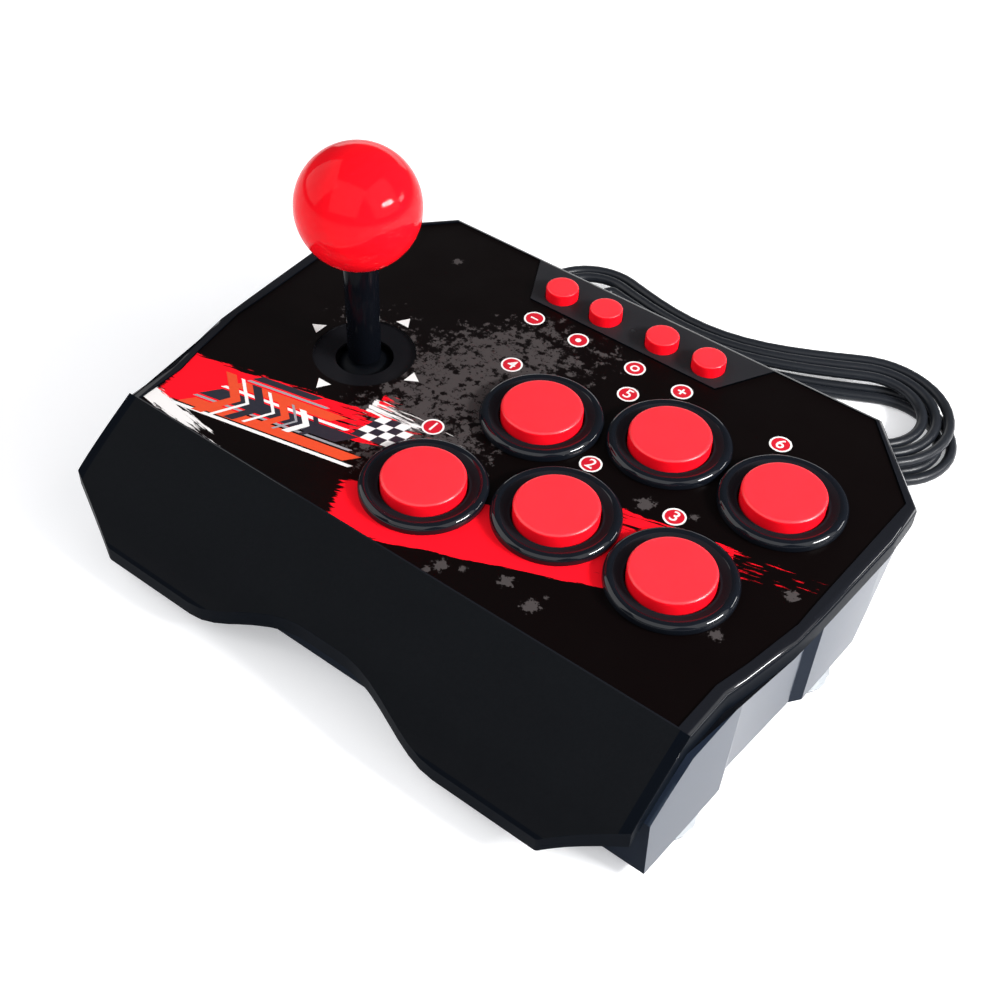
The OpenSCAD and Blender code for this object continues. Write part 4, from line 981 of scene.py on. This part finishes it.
spring = coil_piece("spring_pattern", coil_line(
    spring_r, spring_r, spring_low + spring_wire, spring_high - spring_wire, spring_turns))
for number in range(1, 7):
    at = panel_middle(f"bezel_{number}")
    coil = on_panel_at(copy_of(spring, f"return_spring_{number}"), at.x, at.y)
    dress(coil, spring_steel, "base", "spring_steel", f"spring_{number}")
    foot = on_panel @ (Vector((at.x, at.y, spring_low)) * mm)
    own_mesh(coil)
bpy.data.objects.remove(spring)
pivot_w, cone_r, cone_w, cone_turns = -12, (4.5, 8.1), (-18, -14.4), 4
cone_line = coil_line(*cone_r, *cone_w, cone_turns)
middle = len(cone_line) // 2
for name, line, from_body, to_body in (
        ("centring_coil_low", cone_line[:middle + 1], "stick", "gimbal"),
        ("centring_coil_high", cone_line[middle:], "gimbal", "base")):
    half = on_panel_at(coil_piece(name, line), *stick, pivot_w)
    half.data.materials.append(spring_steel)
    first, last = (on_panel @ (Vector((*stick, pivot_w + p.z / mm)) * mm)
                   for p in (line[0], line[-1]))
    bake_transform(half)
    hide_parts("centering_spring")

# Menu buttons. Four small red caps moulded like the large ones, standing in the satin
# strip. The dark light pipe between them keeps its own solid.
menu_outline = [(0.9, -7.1), (1.8, -7.0), (1.8, -3.5), (6.2, -3.4), (6.2, -2.5), (5, -2.5)] \
    + arc(4.3, 3.2, 0.7, 0, 80, 6) + [(3.6, 3.9), (1.5, 3.9), (0, 3.9)]
menu_cap = smoothed(turned("menu_pattern", menu_outline, 64), 40)
for number in range(1, 5):
    at = panel_middle(f"menu_cap_{number}")
    small = on_panel_at(copy_of(menu_cap, f"menu_button_{number}"), at.x, at.y)
    dress(small, cap_red, f"menu_{number}", "button_red", f"menu_cap_{number}")
    # The menu caps' sides take the painted shade too.
    painted_shade_side(small)
bpy.data.objects.remove(menu_cap)

# Joystick. A 35 mm ball of polished red ABS screwed on a steel lever, a black sleeve over
# the lever, and a dome below it that closes the hole in the dish.
ball_r, ball_w = 17.45, 50


def round_of(radius, angles):
    """Points of a circle about the lever's axis, at whole degrees from the level."""
    return [(radius * cos(radians(a)), radius * sin(radians(a))) for a in angles]


ball = turned("ball", [(3.1, -12), (3.1, -16.6)] + round_of(ball_r, range(-72, 90, 3))
              + [(0, ball_r)], 96)
on_panel_at(ball, *stick, ball_w)
ball_red = finish("ball_red", (0.8, 0.005, 0.013), (0.76, 0.004, 0.01), cloud_size=26,
                  grain_size=4.0, grain_depth=0.002, roughness=0.08, spread=0.03,
                  ior=1.17, subsurface_weight=0.1, subsurface_scale=0.004)
dress(smoothed(ball, 40), ball_red, "stick", "ball_red", "ball_top")

sleeve = turned("lever_sleeve", [(3.05, -0.9)] + arc(4.6, -0.5, 0.3, -90, 0, 3)
                + arc(4.6, 32.9, 0.3, 0, 90, 3) + [(3.05, 33.2)], 64)
on_panel_at(sleeve, *stick)
sleeve_satin = finish("lever_sleeve", (0.002, 0.0025, 0.004), (0.003, 0.0038, 0.0058),
                      cloud_size=10, grain_size=0.4, grain_depth=0.003, roughness=0.12,
                      ior=1.12)
dress(smoothed(sleeve), sleeve_satin, "stick", "sleeve_black", "shaft_sleeve")

dome_inner, dome_outer = 10.1, 11.1
dome = turned("dust_dome_skin", [(3.05, 7.1), (4.6, 7.1), (4.8, 7.3), (4.8, 9.0)]
              + round_of(dome_inner, range(60, 42, -3)) + round_of(dome_outer, range(40, 67, 3))
              + [(3.05, 10.1), (3.05, 7.1)], 72)
on_panel_at(dome, *stick, pivot_w)
dome_satin = finish("dust_dome", (0.0014, 0.0018, 0.0028), (0.0022, 0.0028, 0.004),
                    cloud_size=6, grain_size=0.3, grain_depth=0.006, roughness=0.45,
                    specular_ior_level=0.04)
dress(smoothed(dome, 30), dome_satin, "stick", "sleeve_black", "dust_dome")

# Suction cups. Clear soft vinyl, each pushed with its mushroom stud into the floor.
vinyl = finish("clear_vinyl", (0.9, 0.93, 0.95), (0.86, 0.89, 0.92), cloud_size=8,
               grain_size=0.6, grain_depth=0.004, roughness=0.12, spread=0.05,
               transmission_weight=0.85, ior=1.45)
cup = smoothed(turned("cup_pattern", [
    (0.4, 2), (3, 1.6), (6, 0.8), (8.4, 0.2), (9.3, 0), (10, 0), (10, 0.5), (9.4, 0.9),
    (8, 1.5), (6.2, 2.4), (5, 3.2), (4.5, 3.9), (3, 4), (3, 6.45), (4.05, 6.45), (3.3, 8.0),
    (0, 8.1)], 64), 50)
for name in ("front_left", "front_right", "rear_left", "rear_right"):
    low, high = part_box(f"cup_{name}")
    foot = copy_of(cup, f"suction_cup_{name}")
    foot.data.transform(Matrix.Translation(((low.x + high.x) / 2, (low.y + high.y) / 2, 0)))
    dress(foot, vinyl, "base", "clear_rubber", f"cup_{name}")
bpy.data.objects.remove(cup)

# Inner works. Boards, switches, screws and the lever's mechanism keep their own solids
# and get the finish of the real stock: solder mask, moulded nylon, plated and ground steel.
inner_finishes = {
    "housing_gloss": lid_gloss, "printed_film": film_print, "black_gloss": collar_gloss,
    "button_red": cap_red, "ball_red": ball_red, "clear_rubber": vinyl,
    "clear_plastic": finish("light_pipe", (0.05, 0.05, 0.055), (0.04, 0.04, 0.045),
                            cloud_size=1, roughness=0.2, transmission_weight=0.4),
    "screw_steel": finish("zinc_plate", (0.55, 0.55, 0.52), (0.62, 0.6, 0.5), cloud_size=2,
                          grain_size=0.2, grain_depth=0.002, roughness=0.35, metallic=1.0),
    "spring_steel": spring_steel,
    "lever_steel": finish("ground_steel", (0.5, 0.5, 0.5), (0.57, 0.57, 0.57), cloud_size=4,
                          grain_size=0.12, grain_depth=0.001, roughness=0.3, metallic=1.0),
    "sleeve_black": sleeve_satin,
    "mechanism_black": finish("moulded_nylon", (0.02, 0.02, 0.022), (0.028, 0.028, 0.03),
                              cloud_size=6, grain_size=0.3, grain_depth=0.01, roughness=0.5),
    "circuit_board": finish("solder_mask", (0.012, 0.11, 0.045), (0.016, 0.14, 0.06),
                            cloud_size=3, grain_size=0.8, grain_depth=0.006, roughness=0.3),
    "switch_black": finish("switch_moulding", (0.022, 0.022, 0.025), (0.03, 0.03, 0.034),
                           cloud_size=3, grain_size=0.25, grain_depth=0.008, roughness=0.45),
    "wire_grey": finish("flat_cable", (0.2, 0.2, 0.215), (0.25, 0.25, 0.27), cloud_size=5,
                        grain_size=0.5, grain_depth=0.01, roughness=0.5),
    "cord_black": cord_skin, "plug_nickel": nickel}
for entry in frame["record"]["subparts"]:
    node = nodes[entry["node"]]
    if not node.hide_render and entry["node"] != "graphic_overlay":
        node.data.materials.clear()
        node.data.materials.append(inner_finishes[entry["material_slot"]])
